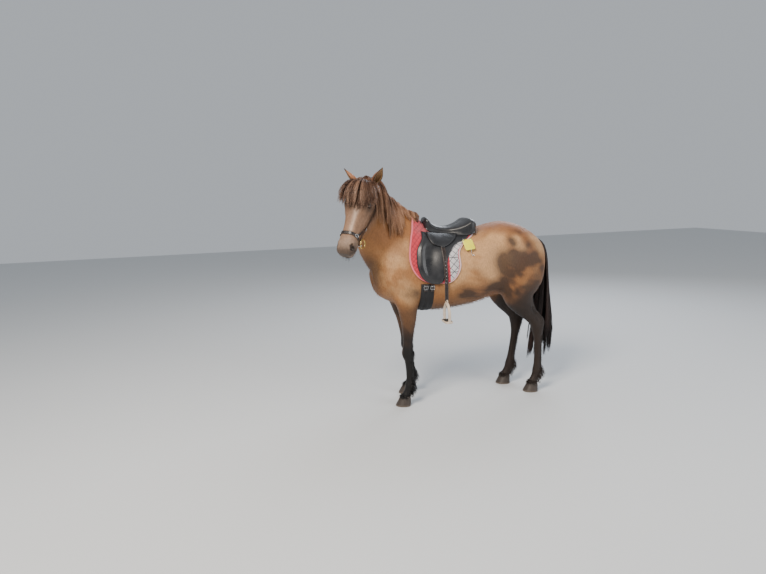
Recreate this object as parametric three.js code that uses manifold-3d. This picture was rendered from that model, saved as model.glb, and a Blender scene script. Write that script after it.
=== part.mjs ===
// A life-size standing Icelandic horse under saddle, as one group of closed solids in millimetres.
// +X points the way the body faces, +Y to the horse's left, +Z up. The neck bends to the left and
// the head looks that way. The hooves stand on z = 0.
import * as THREE from "three";
import { mergeVertices } from "three/addons/utils/BufferGeometryUtils.js";
import Module from "manifold-3d";

const wasm = await Module();
wasm.setup();

// Driving dimensions, in millimetres.
const GAP = 0.35; // clearance between touching solids
const FRAME_SHIFT = [-22, -38, 0]; // from the middle of the barrel to the middle of the whole model
const WITHERS = 1390; // height at the withers
const HEAD_LENGTH = 575; // poll to upper lip

const POLL = new THREE.Vector3(682, 216, 1716);
const HEAD_TURN = 44; // degrees to the left of the body's axis
const HEAD_DROP = 56; // degrees that the face points below the horizon
const HEAD_TILT = -8; // degrees that the poll leans to the horse's right

const STRAP = 3.5; // thickness of the bridle's leather
const PAD_THICK = 11;
const FLAP_THICK = 8;
const GIRTH_THICK = 9;

const V = (x, y, z) => new THREE.Vector3(x, y, z);
const lerp = THREE.MathUtils.lerp;
const clamp = THREE.MathUtils.clamp;
const rad = THREE.MathUtils.degToRad;

// Closed solids

function solidOf(geometry) {
  const g = geometry.clone();
  g.deleteAttribute("normal");
  g.deleteAttribute("uv");
  const merged = mergeVertices(g, 1e-4);
  return new wasm.Manifold(
    new wasm.Mesh({
      numProp: 3,
      vertProperties: merged.attributes.position.array,
      triVerts: new Uint32Array(merged.index.array),
    }),
  );
}

// A closed skin through rings of equal count, with a fan on each end.
function loft(rings) {
  const count = rings[0].length;
  const points = rings.flat();
  const faces = [];
  for (let r = 0; r + 1 < rings.length; r++) {
    for (let k = 0; k < count; k++) {
      const a = r * count + k;
      const b = r * count + ((k + 1) % count);
      faces.push(a, b, b + count, a, b + count, a + count);
    }
  }
  const capAt = (first, flip) => {
    const middle = V(0, 0, 0);
    for (let k = 0; k < count; k++) middle.add(points[first + k]);
    points.push(middle.divideScalar(count));
    const hub = points.length - 1;
    for (let k = 0; k < count; k++) {
      const a = first + k;
      const b = first + ((k + 1) % count);
      faces.push(...(flip ? [hub, b, a] : [hub, a, b]));
    }
  };
  capAt(0, true);
  capAt((rings.length - 1) * count, false);
  const vertProperties = new Float32Array(points.flatMap((p) => [p.x, p.y, p.z]));
  const made = new wasm.Manifold(
    new wasm.Mesh({ numProp: 3, vertProperties, triVerts: new Uint32Array(faces) }),
  );
  if (made.volume() > 0) return made;
  for (let i = 0; i < faces.length; i += 3) [faces[i + 1], faces[i + 2]] = [faces[i + 2], faces[i + 1]];
  return new wasm.Manifold(
    new wasm.Mesh({ numProp: 3, vertProperties, triVerts: new Uint32Array(faces) }),
  );
}

const joined = (solids) => solids.reduce((a, b) => a.add(b));
const largest = (solid) =>
  solid.decompose().reduce((a, b) => (b.volume() > a.volume() ? b : a));

// Rows of numbers, one row a station, read at any place between the first (0) and the last (1).
function between(rows, t) {
  const spans = rows.length - 1;
  const at = clamp(t, 0, 1) * spans;
  const i = Math.min(Math.floor(at), spans - 1);
  const f = at - i;
  const row = (k) => rows[clamp(k, 0, spans)];
  return rows[0].map((_, c) => {
    const [p0, p1, p2, p3] = [row(i - 1)[c], row(i)[c], row(i + 1)[c], row(i + 2)[c]];
    const m1 = (p2 - p0) / 2;
    const m2 = (p3 - p1) / 2;
    const [f2, f3] = [f * f, f * f * f];
    return (
      (2 * f3 - 3 * f2 + 1) * p1 + (f3 - 2 * f2 + f) * m1 + (-2 * f3 + 3 * f2) * p2 + (f3 - f2) * m2
    );
  });
}

// A ring round a centre: wide along side, and reaching up and down by their own sizes.
function ring(centre, side, up, size, count) {
  const { wide, top, bottom, topPower = 2, bottomPower = 2 } = size;
  return Array.from({ length: count }, (_, k) => {
    const angle = (2 * Math.PI * k) / count;
    const [c, s] = [Math.cos(angle), Math.sin(angle)];
    const power = 2 / (c >= 0 ? topPower : bottomPower);
    const u = Math.sign(c) * Math.abs(c) ** power * (c >= 0 ? top : bottom);
    const w = Math.sign(s) * Math.abs(s) ** power * wide;
    return centre.clone().addScaledVector(side, w).addScaledVector(up, u);
  });
}

// Trunk: x, top, bottom, half width, height of the widest place, from the buttock to the breast.
const TRUNK = [
  [-774, 1165, 985, 70, 1080],
  [-748, 1224, 900, 150, 1085],
  [-680, 1290, 838, 215, 1085],
  [-580, 1350, 800, 250, 1080],
  [-450, WITHERS - 4, 800, 258, 1080],
  [-330, 1374, 790, 262, 1050],
  [-190, 1338, 752, 284, 1010],
  [-40, 1312, 728, 296, 990],
  [110, 1312, 716, 288, 985],
  [230, 1345, 722, 254, 985],
  [340, WITHERS, 745, 226, 985],
  [440, 1372, 780, 214, 990],
  [530, 1290, 820, 190, 1000],
  [590, 1180, 868, 140, 1010],
  [618, 1090, 930, 70, 1010],
];
const X_AXIS = V(1, 0, 0);
const Y_AXIS = V(0, 1, 0);
const Z_AXIS = V(0, 0, 1);

function trunk(grow, steps = 18, count = 22) {
  return loft(
    Array.from({ length: steps + 1 }, (_, i) => {
      const t = i / steps;
      const [x, top, bottom, wide, widest] = between(TRUNK, t);
      const ends = t === 0 ? -grow : t === 1 ? grow : 0;
      return ring(V(x + ends, 0, widest), Y_AXIS, Z_AXIS, {
        wide: wide + grow,
        top: top - widest + grow,
        bottom: widest - bottom + grow,
        topPower: 2.15,
        bottomPower: 2.1,
      }, count);
    }),
  );
}

// Limbs: x, distance out from the midline, z, half width, reach forward, reach back.
const FORELEG = [
  [418, 118, 1150, 62, 105, 125],
  [430, 132, 1020, 84, 118, 125],
  [412, 140, 900, 84, 104, 112],
  [388, 144, 800, 74, 82, 92],
  [380, 144, 710, 60, 64, 70],
  [382, 142, 600, 46, 48, 52],
  [386, 140, 490, 37, 39, 42],
  [390, 140, 430, 41, 42, 44],
  [388, 140, 388, 40, 41, 48],
  [384, 140, 345, 31, 31, 40],
  [381, 140, 270, 25, 26, 34],
  [380, 140, 200, 26, 27, 35],
  [382, 140, 158, 34, 34, 40],
  [392, 141, 122, 31, 30, 34],
  [406, 142, 88, 33, 32, 32],
  [414, 143, 66, 41, 40, 38],
];
const HINDLEG = [
  [-500, 92, 1240, 70, 130, 150],
  [-540, 118, 1120, 108, 170, 190],
  [-550, 130, 990, 124, 178, 196],
  [-535, 134, 880, 118, 160, 172],
  [-540, 134, 790, 96, 128, 132],
  [-580, 132, 710, 70, 92, 92],
  [-632, 130, 640, 52, 62, 64],
  [-676, 128, 585, 44, 50, 62],
  [-698, 127, 540, 44, 50, 64],
  [-708, 126, 490, 40, 44, 50],
  [-712, 126, 430, 30, 34, 38],
  [-712, 127, 330, 26, 29, 36],
  [-710, 128, 230, 28, 30, 38],
  [-706, 129, 168, 36, 36, 43],
  [-694, 130, 130, 32, 31, 36],
  [-678, 131, 94, 34, 33, 33],
  [-668, 132, 68, 42, 42, 40],
];
// How far each foot is set forward of the named place, growing from the limb's top to the ground.
const FOOT_FORWARD = { fore_left: 0, fore_right: -95, hind_left: 10, hind_right: 135 };

function limbRows(leg) {
  const [kind, side] = leg.split("_");
  const rows = kind === "fore" ? FORELEG : HINDLEG;
  const sign = side === "left" ? 1 : -1;
  const reach = FOOT_FORWARD[leg];
  const [high, low] = kind === "fore" ? [900, 150] : [950, 150];
  return rows.map(([x, out, z, ...sizes]) => {
    const down = clamp((high - z) / (high - low), 0, 1);
    const swing = THREE.MathUtils.smoothstep(down, 0, 1) * 0.35 + down * 0.65;
    return [x + reach * swing, sign * out, z, ...sizes];
  });
}

function limb(leg, grow, steps = 22, count = 12) {
  const rows = limbRows(leg);
  return loft(
    Array.from({ length: steps + 1 }, (_, i) => {
      const t = i / steps;
      const [x, y, z, wide, front, back] = between(rows, t);
      const before = between(rows, t - 0.01);
      const after = between(rows, t + 0.01);
      const along = V(after[0] - before[0], 0, after[2] - before[2]).normalize();
      const forward = V(-along.z, 0, along.x);
      const ends = t === 0 ? -grow : t === 1 ? grow : 0;
      const centre = V(x, y, z).addScaledVector(along, ends);
      return ring(centre, Y_AXIS, forward, {
        wide: wide + grow,
        top: front + grow,
        bottom: back + grow,
        topPower: 2.1,
      }, count);
    }),
  );
}

// A hoof: a blunt cone that widens to the ground, flat below, under the end of the limb.
const HOOF = { coronet: 62, crown: 46, sole: 59, toeLean: 26, heel: 0.82 };
function hoof(leg, count = 14) {
  const rows = limbRows(leg);
  const [x, y] = rows[rows.length - 1];
  const levels = [
    [HOOF.coronet, HOOF.crown, 0],
    [HOOF.coronet * 0.5, lerp(HOOF.crown, HOOF.sole, 0.55), HOOF.toeLean * 0.5],
    [6, HOOF.sole, HOOF.toeLean * 0.92],
    [0, HOOF.sole - 2, HOOF.toeLean * 0.92],
  ];
  return loft(
    levels.map(([z, radius, lean]) =>
      ring(V(x + lean * 0.45, y, z), Y_AXIS, X_AXIS, {
        wide: radius,
        top: radius + lean * 0.35,
        bottom: radius * HOOF.heel,
        bottomPower: 2.6,
      }, count),
    ),
  );
}

// Neck: x, y, z of the middle, reach to the crest, reach to the throat, half width, turn to the left
// in degrees, from inside the trunk to behind the ears.
const NECK = [
  [330, 0, 1120, 262, 250, 120, 0],
  [430, 4, 1215, 276, 262, 134, 4],
  [520, 24, 1308, 266, 238, 120, 14],
  [588, 62, 1400, 242, 205, 106, 26],
  [632, 108, 1488, 214, 165, 94, 35],
  [656, 146, 1568, 188, 136, 84, 40],
  [660, 172, 1636, 158, 112, 76, 43],
  [656, 188, 1690, 100, 72, 60, 44],
];

function neckAt(t) {
  const [x, y, z, crest, throat, wide, turn] = between(NECK, t);
  const before = between(NECK, t - 0.02);
  const after = between(NECK, t + 0.02);
  const run = V(after[0] - before[0], after[1] - before[1], after[2] - before[2]);
  const speed = run.length() / (clamp(t + 0.02, 0, 1) - clamp(t - 0.02, 0, 1));
  const along = run.normalize();
  const side = V(-Math.sin(rad(turn)), Math.cos(rad(turn)), 0);
  const up = along.clone().cross(side).normalize();
  return { centre: V(x, y, z), along, side, up, crest, throat, wide, speed };
}

function neck(grow, steps = 11, count = 18) {
  return loft(
    Array.from({ length: steps + 1 }, (_, i) => {
      const { centre, along, side, up, crest, throat, wide } = neckAt(i / steps);
      const ends = i === 0 ? -grow : i === steps ? grow : 0;
      return ring(centre.addScaledVector(along, ends), side, up, {
        wide: wide + grow,
        top: crest + grow,
        bottom: throat + grow,
        topPower: 1.75,
        bottomPower: 2.2,
      }, count);
    }),
  );
}

// Head frame: s runs from the poll down the face, u out of the forehead, w to the head's left.
const HEAD_ALONG = V(
  Math.cos(rad(HEAD_DROP)) * Math.cos(rad(HEAD_TURN)),
  Math.cos(rad(HEAD_DROP)) * Math.sin(rad(HEAD_TURN)),
  -Math.sin(rad(HEAD_DROP)),
);
const LEVEL_LEFT = V(-Math.sin(rad(HEAD_TURN)), Math.cos(rad(HEAD_TURN)), 0);
const HEAD_LEFT = LEVEL_LEFT.applyAxisAngle(HEAD_ALONG, rad(HEAD_TILT));
const HEAD_UP = HEAD_ALONG.clone().cross(HEAD_LEFT);
const headPoint = (s, u, w) =>
  POLL.clone()
    .addScaledVector(HEAD_ALONG, s)
    .addScaledVector(HEAD_UP, u)
    .addScaledVector(HEAD_LEFT, w);

// Skull: s, height of the widest place, reach to the profile, reach to the jaw, half width.
const SKULL = [
  [-30, -62, 52, 40, 42],
  [0, -50, 76, 92, 68],
  [50, -34, 88, 150, 86],
  [110, -22, 86, 180, 98],
  [170, -16, 78, 178, 104],
  [225, -20, 72, 164, 97],
  [285, -30, 70, 142, 82],
  [350, -38, 68, 118, 70],
  [415, -42, 66, 96, 66],
  [465, -44, 64, 86, 69],
  [510, -46, 60, 78, 71],
  [545, -48, 48, 66, 63],
  [HEAD_LENGTH - 6, -50, 28, 44, 42],
];

function skullAt(t) {
  const [s, mid, top, bottom, wide] = between(SKULL, t);
  return { s, mid, top, bottom, wide };
}

function ellipsoid(centre, axes, sizes, detail = [8, 5]) {
  const g = new THREE.SphereGeometry(1, detail[0], detail[1]);
  const m = new THREE.Matrix4().makeBasis(
    axes[0].clone().multiplyScalar(sizes[0]),
    axes[1].clone().multiplyScalar(sizes[1]),
    axes[2].clone().multiplyScalar(sizes[2]),
  );
  m.setPosition(centre);
  if (m.determinant() < 0) g.index.array.reverse();
  return solidOf(g.applyMatrix4(m));
}

const HEAD_AXES = [HEAD_ALONG, HEAD_LEFT, HEAD_UP];
const EYE = { s: 188, u: 2, w: 86, radius: 19 };
// Half sizes down the face, across it and out of it.
const CHEEK_BUMP = [92, 38, 88];
const BROW_BUMP = [36, 22, 17];
const NOSTRIL_BUMP = [38, 24, 32];
const LIP_BUMP = [34, 38, 22];
const CHIN_BUMP = [30, 30, 20];

function head(grow, steps = 17, count = 17) {
  const skull = loft(
    Array.from({ length: steps + 1 }, (_, i) => {
      const { s, mid, top, bottom, wide } = skullAt(i / steps);
      const ends = i === 0 ? -grow : i === steps ? grow : 0;
      return ring(headPoint(s + ends, mid, 0), HEAD_LEFT, HEAD_UP, {
        wide: wide + grow,
        top: top + grow,
        bottom: bottom + grow,
        topPower: 2.5,
        bottomPower: 1.75,
      }, count);
    }),
  );
  const bump = (s, u, w, sizes, detail) =>
    ellipsoid(headPoint(s, u, w), HEAD_AXES, sizes.map((size) => size + grow), detail);
  const pairs = [1, -1].flatMap((sign) => [
    bump(128, -98, sign * 40, CHEEK_BUMP, [12, 8]),
    bump(EYE.s - 8, EYE.u + 20, sign * 78, BROW_BUMP),
    bump(518, -38, sign * 44, NOSTRIL_BUMP),
  ]);
  return joined([skull, ...pairs, bump(528, -104, 0, LIP_BUMP), bump(496, -112, 0, CHIN_BUMP)]);
}

// Everything of flesh down to the fetlocks, grown outwards by a few millimetres where asked.
const LEGS = ["fore_left", "fore_right", "hind_left", "hind_right"];
const grown = new Map();
function flesh(grow) {
  if (!grown.has(grow)) {
    const limbs = LEGS.map((leg) => limb(leg, grow));
    grown.set(grow, joined([trunk(grow), neck(grow), head(grow), ...limbs]));
  }
  return grown.get(grow);
}

// Cuts: where the head meets the neck, the neck the trunk, and each leg the trunk.
const HEAD_LEVEL = V(Math.cos(rad(HEAD_TURN)), Math.sin(rad(HEAD_TURN)), 0);
const THROAT_NORMAL = HEAD_LEVEL.clone().multiplyScalar(0.87).addScaledVector(Z_AXIS, -0.494);
const THROAT_POINT = headPoint(-40, 30, 0);
const JAW_LEVEL = -206; // all of the head lies above this in its own frame
const COLLAR_NORMAL = V(0.85, 0, 0.527);
const COLLAR_POINT = V(372, 0, WITHERS);
const ELBOW_NORMAL = V(0.12, 0, 1).normalize();
const ELBOW_POINT = V(380, 0, 812);
const STIFLE_NORMAL = V(0.3, 0, 1).normalize();
const STIFLE_POINT = V(-540, 0, 872);

// What belongs to the head: in front of the throat's plane and above the line of the jaw.
function headRegion(extra) {
  const block = boxIn(1100, 900, 700, headPoint(300, JAW_LEVEL + 350 - extra, 0), HEAD_AXES);
  return side(block, THROAT_POINT.clone().addScaledVector(THROAT_NORMAL, -extra), THROAT_NORMAL);
}

// The side of a plane that its normal points to, set off by half the gap; flip takes the other side.
function side(solid, point, normal, flip = false) {
  const n = flip ? normal.clone().negate() : normal;
  return solid.trimByPlane([n.x, n.y, n.z], n.dot(point) + GAP / 2);
}

function legCut(leg) {
  return leg.startsWith("fore") ? [ELBOW_POINT, ELBOW_NORMAL] : [STIFLE_POINT, STIFLE_NORMAL];
}

function legBelow(leg) {
  const above = V(0, 0, HOOF.coronet + GAP / 2);
  const lower = side(limb(leg, 0), ...legCut(leg), true);
  return side(lower, above, Z_AXIS).subtract(trunk(GAP));
}

function bodyOfFlesh() {
  const upper = LEGS.map((leg) => side(limb(leg, 0), ...legCut(leg)));
  return joined([trunk(0), neck(0), head(0), ...upper]);
}

// A prism that runs right across the horse, from an outline in x and z.
function across(points, from = -450, to = 450) {
  const shape = new THREE.Shape(points.map(([x, z]) => new THREE.Vector2(x, z)));
  const g = new THREE.ExtrudeGeometry(shape, { depth: to - from, bevelEnabled: false });
  g.rotateX(Math.PI / 2).translate(0, to, 0);
  return solidOf(g);
}

function curveThrough(points, closed, count) {
  const curve = new THREE.CatmullRomCurve3(points.map(([x, z]) => V(x, 0, z)), closed, "catmullrom", 0.5);
  return curve.getPoints(count).slice(0, closed ? -1 : undefined).map((p) => [p.x, p.z]);
}

// The skin of the body between two offsets, the shape of a pad, flap or girth that lies on it.
function wrap(inner, outer, region) {
  return flesh(outer).intersect(region).subtract(flesh(inner));
}

// A flat, tapered lock of hair: middle points, with a width, a thickness and a facing at each.
function lock(points, faces, width, thick) {
  const last = points.length - 1;
  const rings = points.slice(0, last).map((p, i) => {
    const along = points[i + 1].clone().sub(points[Math.max(i - 1, 0)]).normalize();
    const out = faces[i].clone().addScaledVector(along, -faces[i].dot(along)).normalize();
    const flat = along.clone().cross(out);
    const t = i / last;
    const spread = width * (0.62 + 0.75 * t - 1.05 * t * t);
    const depth = thick * (1 - 0.45 * t);
    return [
      p.clone().addScaledVector(out, depth / 2),
      p.clone().addScaledVector(flat, spread / 2),
      p.clone().addScaledVector(out, -depth / 2),
      p.clone().addScaledVector(flat, -spread / 2),
    ];
  });
  const tip = points[last];
  rings.push(rings[last - 1].map((q) => tip.clone().lerp(q, 0.04)));
  return loft(rings);
}

// A seeded draw, the same on each run.
function draws(seed) {
  let state = seed;
  return (low, high) => {
    state = (state * 1664525 + 1013904223) % 4294967296;
    return low + ((high - low) * state) / 4294967296;
  };
}

// Mane: locks root on the crest from poll to withers and hang straight down over the neck.
// Rows of how far along the neck from trunk to poll, with the left and right lengths there.
const MANE = [
  [0.0, 190, 210],
  [0.12, 170, 240],
  [0.3, 150, 270],
  [0.5, 200, 300],
  [0.68, 300, 320],
  [0.85, 345, 320],
  [1.0, 330, 300],
];
const MANE_LOCKS = 10; // on each side
const MANE_RISE = 46; // how high the locks stand over the crest before they fall
const MANE_FROM = 0.1;
const MANE_TO = 1.0;

function neckHalfWidth(frame, u) {
  const reach = u >= 0 ? frame.crest : frame.throat;
  const power = u >= 0 ? 1.75 : 2.2;
  const share = clamp(Math.abs(u) / reach, 0, 1);
  return frame.wide * (1 - share ** power) ** (1 / power);
}

// The neck's frame at the height along it of a point, with the point's place in that frame.
function neckPlace(point, guess) {
  let t = guess;
  let frame = neckAt(t);
  for (let i = 0; i < 6; i++) {
    const off = point.clone().sub(frame.centre);
    t = clamp(t + (0.8 * off.dot(frame.along)) / frame.speed, 0, 1);
    frame = neckAt(t);
  }
  const off = point.clone().sub(frame.centre);
  return { t, frame, u: off.dot(frame.up), w: off.dot(frame.side) };
}

function maneLock(at, sideSign, length, lift, width) {
  const steps = 5;
  const start = neckAt(at);
  const points = [];
  const faces = [];
  const put = (frame, u, w) => {
    const point = frame.centre.clone().addScaledVector(frame.up, u);
    points.push(point.addScaledVector(frame.side, sideSign * w));
  };
  put(start, start.crest - 14, 2);
  put(start, start.crest + MANE_RISE, 20);
  faces.push(start.up.clone().addScaledVector(start.side, sideSign * 0.5));
  faces.push(start.up.clone().addScaledVector(start.side, sideSign * 1.2));
  let t = at;
  for (let i = 2; i <= steps; i++) {
    const hang = points[i - 1].clone().addScaledVector(Z_AXIS, -length / (steps - 1.4));
    const place = neckPlace(hang, t);
    const over = neckHalfWidth(place.frame, place.u) + lift;
    put(place.frame, place.u, Math.max(over, sideSign * place.w + 10));
    faces.push(place.frame.side.clone().multiplyScalar(sideSign).addScaledVector(place.frame.up, 0.25));
    t = place.t;
  }
  return lock(points, faces, width, 10);
}

function mane() {
  const draw = draws(7);
  const locks = [];
  for (const sideSign of [1, -1]) {
    for (let i = 0; i < MANE_LOCKS; i++) {
      const share = i / (MANE_LOCKS - 1);
      const at = lerp(MANE_FROM, MANE_TO, share) + draw(-0.01, 0.01);
      const lengths = between(MANE, at);
      const length = lengths[sideSign > 0 ? 1 : 2] * draw(0.88, 1.06);
      locks.push(maneLock(at, sideSign, length, 8 + (i % 2) * 9, 78 * draw(0.9, 1.1)));
    }
  }
  return locks;
}

// Forelock: locks from between the ears that fan out down the face, as far as the eyes.
const FORELOCK_LOCKS = 9;
const FORELOCK_END = 238;

function skullSurface(s, w) {
  let t = 0;
  while (t < 1 && skullAt(t).s < s) t += 0.01;
  const { mid, top, wide } = skullAt(t);
  const share = clamp(Math.abs(w) / wide, 0, 0.995);
  return { u: mid + top * (1 - share ** 2.5) ** (1 / 2.5), wide };
}

function forelock() {
  const draw = draws(11);
  return Array.from({ length: FORELOCK_LOCKS }, (_, i) => {
    const share = (i / (FORELOCK_LOCKS - 1)) * 2 - 1;
    const end = FORELOCK_END * (1 - 0.14 * Math.abs(share)) * draw(0.93, 1.05);
    const lift = 12 + (i % 2) * 10;
    const steps = 5;
    const points = [];
    const faces = [];
    for (let k = 0; k <= steps; k++) {
      const t = k / steps;
      const s = lerp(-8, end, t);
      const w = share * lerp(46, 118, t ** 0.75);
      const { u, wide } = skullSurface(s, w);
      const clearOf = Math.abs(w) > wide - 8 ? Math.sign(w) * Math.max(Math.abs(w), wide + 6) : w;
      const high = k === 0 ? u - 12 : u + lift + 20 * Math.sin(Math.PI * Math.min(1, t * 1.1));
      points.push(headPoint(s, high, clearOf));
      faces.push(HEAD_UP.clone().addScaledVector(HEAD_LEFT, share * lerp(0.3, 1.1, t)));
    }
    return lock(points, faces, 50, 10);
  });
}

// Locks from behind the ears that fall over the jaws, as places in the head's own frame.
const CHEEK_LOCK = [[-34, -20, 30], [-26, -34, 100], [52, -82, 122], [130, -124, 124], [216, -172, 108]];

function cheekLocks(sign) {
  return [0, 1, 2].map((i) => {
    const places = CHEEK_LOCK.map(([s, u, w]) => headPoint(s + 4 * i, u - 34 * i, sign * w));
    const faces = places.map(() => HEAD_LEFT.clone().multiplyScalar(sign));
    return lock(places, faces, 54, 10);
  });
}

// Tail: a dock with a core of hair, and locks that part below the buttocks.
// Rows of z, x of the middle, half spread along x, half spread across, from dock to tips.
const TAIL = [
  [1228, -768, 24, 24],
  [1186, -806, 32, 34],
  [1080, -834, 34, 54],
  [940, -838, 42, 68],
  [800, -828, 56, 74],
  [660, -812, 78, 74],
  [520, -796, 100, 68],
  [380, -782, 116, 62],
  [200, -768, 120, 58],
];
const TAIL_LOCKS = 10;
const TAIL_CORE_END = 0.55;

function tailAt(t) {
  const [z, x, deep, wide] = between(TAIL, t);
  return { z, x, deep, wide };
}

function tail() {
  const core = loft(
    Array.from({ length: 7 }, (_, i) => {
      const share = i / 6;
      const { z, x, deep, wide } = tailAt(share * TAIL_CORE_END);
      const thin = i === 0 ? 0.9 : 0.62 * (1 - 0.75 * share ** 3);
      const tilt = V(-0.75, 0, -0.66).lerp(V(0, 0, -1), Math.min(1, share * 4)).normalize();
      const forward = V(-tilt.z, 0, tilt.x);
      const size = { wide: wide * thin, top: deep * thin, bottom: deep * thin };
      return ring(V(x, 0, z), Y_AXIS, forward, size, 9);
    }),
  );
  const draw = draws(23);
  const locks = Array.from({ length: TAIL_LOCKS }, (_, i) => {
    const angle = (2 * Math.PI * (i + draw(-0.2, 0.2))) / TAIL_LOCKS;
    const layer = 0.72 + 0.28 * ((i * 7) % 4) / 3;
    const from = lerp(0.04, 0.34, ((i * 5) % 7) / 6);
    const to = draw(0.88, 1.0);
    const steps = 6;
    const points = [];
    const faces = [];
    for (let k = 0; k <= steps; k++) {
      const f = k / steps;
      const { z, x, deep, wide } = tailAt(lerp(from, to, f));
      const out = k === 0 ? 0.35 : layer * (1 - 0.12 * f * f);
      points.push(V(x + Math.cos(angle) * deep * out, Math.sin(angle) * wide * out, z));
      faces.push(V(Math.cos(angle), Math.sin(angle) * 0.9, 0.02));
    }
    return lock(points, faces, 60, 14);
  });
  return [core, ...locks];
}

// Ear: a pointed leaf, scooped out in front. It stands on the skull and turns a little outwards.
const EAR = { s: 10, u: 34, w: 76, length: 138 };
const EAR_ROWS = [
  [0, 22, 21],
  [0.22, 31, 24],
  [0.45, 36, 23],
  [0.68, 30, 18],
  [0.87, 16, 10],
  [1, 3, 3],
];

function ear(sign, grow = 0) {
  const axis = HEAD_UP.clone()
    .multiplyScalar(0.6)
    .addScaledVector(HEAD_ALONG, -0.6)
    .addScaledVector(HEAD_LEFT, sign > 0 ? 0.58 : -0.86)
    .normalize();
  const front = HEAD_ALONG.clone().addScaledVector(HEAD_LEFT, sign * 0.55);
  front.addScaledVector(axis, -front.dot(axis)).normalize();
  const across = front.clone().cross(axis).normalize();
  const root = headPoint(EAR.s, EAR.u - 30, sign * (EAR.w - 8));
  const leaf = (from, share, push) =>
    loft(
      Array.from({ length: 7 }, (_, i) => {
        const t = lerp(from, 1, i / 6);
        const [, wide, deep] = between(EAR_ROWS, t);
        const centre = root.clone().addScaledVector(axis, t * EAR.length);
        return ring(centre.addScaledVector(front, push * (1 - 0.3 * t)), across, front, {
          wide: wide * share + grow,
          top: deep * share + grow,
          bottom: deep * share + grow,
        }, 10);
      }),
    );
  const outer = leaf(0, 1, 0);
  return grow ? outer : outer.subtract(leaf(0.3, 0.8, 15));
}

// Eyeballs in sockets under the brow, with a lid that stands round each.
const eyeCentre = (sign) => headPoint(EYE.s, EYE.u, sign * EYE.w);
const eyeBall = (sign, grow = 0) =>
  ellipsoid(eyeCentre(sign), HEAD_AXES, Array(3).fill(EYE.radius + grow), [12, 8]);

function eyeLids(sign) {
  const g = new THREE.TorusGeometry(EYE.radius - 1, 5, 6, 14);
  const m = new THREE.Matrix4().makeBasis(HEAD_ALONG, HEAD_UP, HEAD_ALONG.clone().cross(HEAD_UP));
  g.scale(1.15, 0.8, 1).applyMatrix4(m);
  const at = headPoint(EYE.s, EYE.u, sign * (EYE.w + 10));
  g.translate(at.x, at.y, at.z);
  return solidOf(g);
}

// A nostril is a slanting oval hollow, and the mouth a thin slot between the lips.
function nostril(sign) {
  return ellipsoid(headPoint(520, -12, sign * 58), HEAD_AXES, [17, 15, 12], [10, 6]);
}

function boxIn(length, width, height, centre, axes) {
  const g = new THREE.BoxGeometry(length, width, height);
  const m = new THREE.Matrix4().makeBasis(...axes).setPosition(centre);
  return solidOf(g.applyMatrix4(m));
}

function mouthSlot() {
  const run = HEAD_ALONG.clone().addScaledVector(HEAD_UP, 0.12).normalize();
  const rise = run.clone().cross(HEAD_LEFT);
  return boxIn(130, 200, 3, headPoint(528, -90, 0), [run, HEAD_LEFT, rise]);
}

// A strap's path in the head's own side view, as a slab through both cheeks.
function slab(fromSU, toSU, width, halfSpan = 180, shift = 0) {
  const along = HEAD_ALONG.clone()
    .multiplyScalar(toSU[0] - fromSU[0])
    .addScaledVector(HEAD_UP, toSU[1] - fromSU[1]);
  const length = along.length();
  along.normalize();
  const rise = along.clone().cross(HEAD_LEFT);
  const centre = headPoint((fromSU[0] + toSU[0]) / 2, (fromSU[1] + toSU[1]) / 2, shift);
  return boxIn(length, halfSpan * 2, width, centre, [along, HEAD_LEFT, rise]);
}

// Bridle joints in the head's side view: the cheekpiece runs down to the bit, and the noseband
// has a front strap, one up to the cheekpiece and one under the chin, which meet at a ring.
const CHEEK_TOP = [14, -24];
const CHEEK_TURN = [292, -128];
const NOSE_FRONT = [424, 70];
const NOSE_RING = [428, -12];
const NOSE_JOIN = [322, -102];
const NOSE_BACK = [462, -190];
const BIT_AT = [440, -104];
const BIT_OUT = 75; // from the middle of the head
const BIT_RING = 32; // radius of the loose rings
const BIT_WIRE = 4;

function headShell(inner, outer, region) {
  const shell = (grow) => head(grow).add(neck(grow));
  return shell(outer).intersect(region).subtract(shell(inner));
}

function bridleRegions() {
  const overPoll = slab([6, 130], [8, -36], 20);
  const cheek = slab(CHEEK_TOP, CHEEK_TURN, 15).add(slab(CHEEK_TURN, [BIT_AT[0] - 22, BIT_AT[1] + 6], 15));
  const nose = (extra) =>
    joined([
      slab(NOSE_FRONT, NOSE_RING, 24 + extra),
      slab(NOSE_RING, NOSE_JOIN, 17 + extra),
      slab(NOSE_RING, NOSE_BACK, 17 + extra),
    ]);
  return { headpiece: overPoll.add(cheek), noseband: nose(0), nosebandSpace: nose(2) };
}

function bitRing(sign, grow = 0) {
  const ringShape = new THREE.TorusGeometry(BIT_RING, BIT_WIRE + grow, 6, 12);
  const m = new THREE.Matrix4().makeBasis(HEAD_ALONG, HEAD_UP, HEAD_ALONG.clone().cross(HEAD_UP));
  ringShape.applyMatrix4(m);
  const at = headPoint(BIT_AT[0], BIT_AT[1], sign * BIT_OUT);
  ringShape.translate(at.x, at.y, at.z);
  const mouthpiece = headPoint(BIT_AT[0] + BIT_RING - 4, BIT_AT[1] + 6, sign * (BIT_OUT - 11));
  return solidOf(ringShape).add(ellipsoid(mouthpiece, HEAD_AXES, [12, 14, 8]));
}

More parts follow.
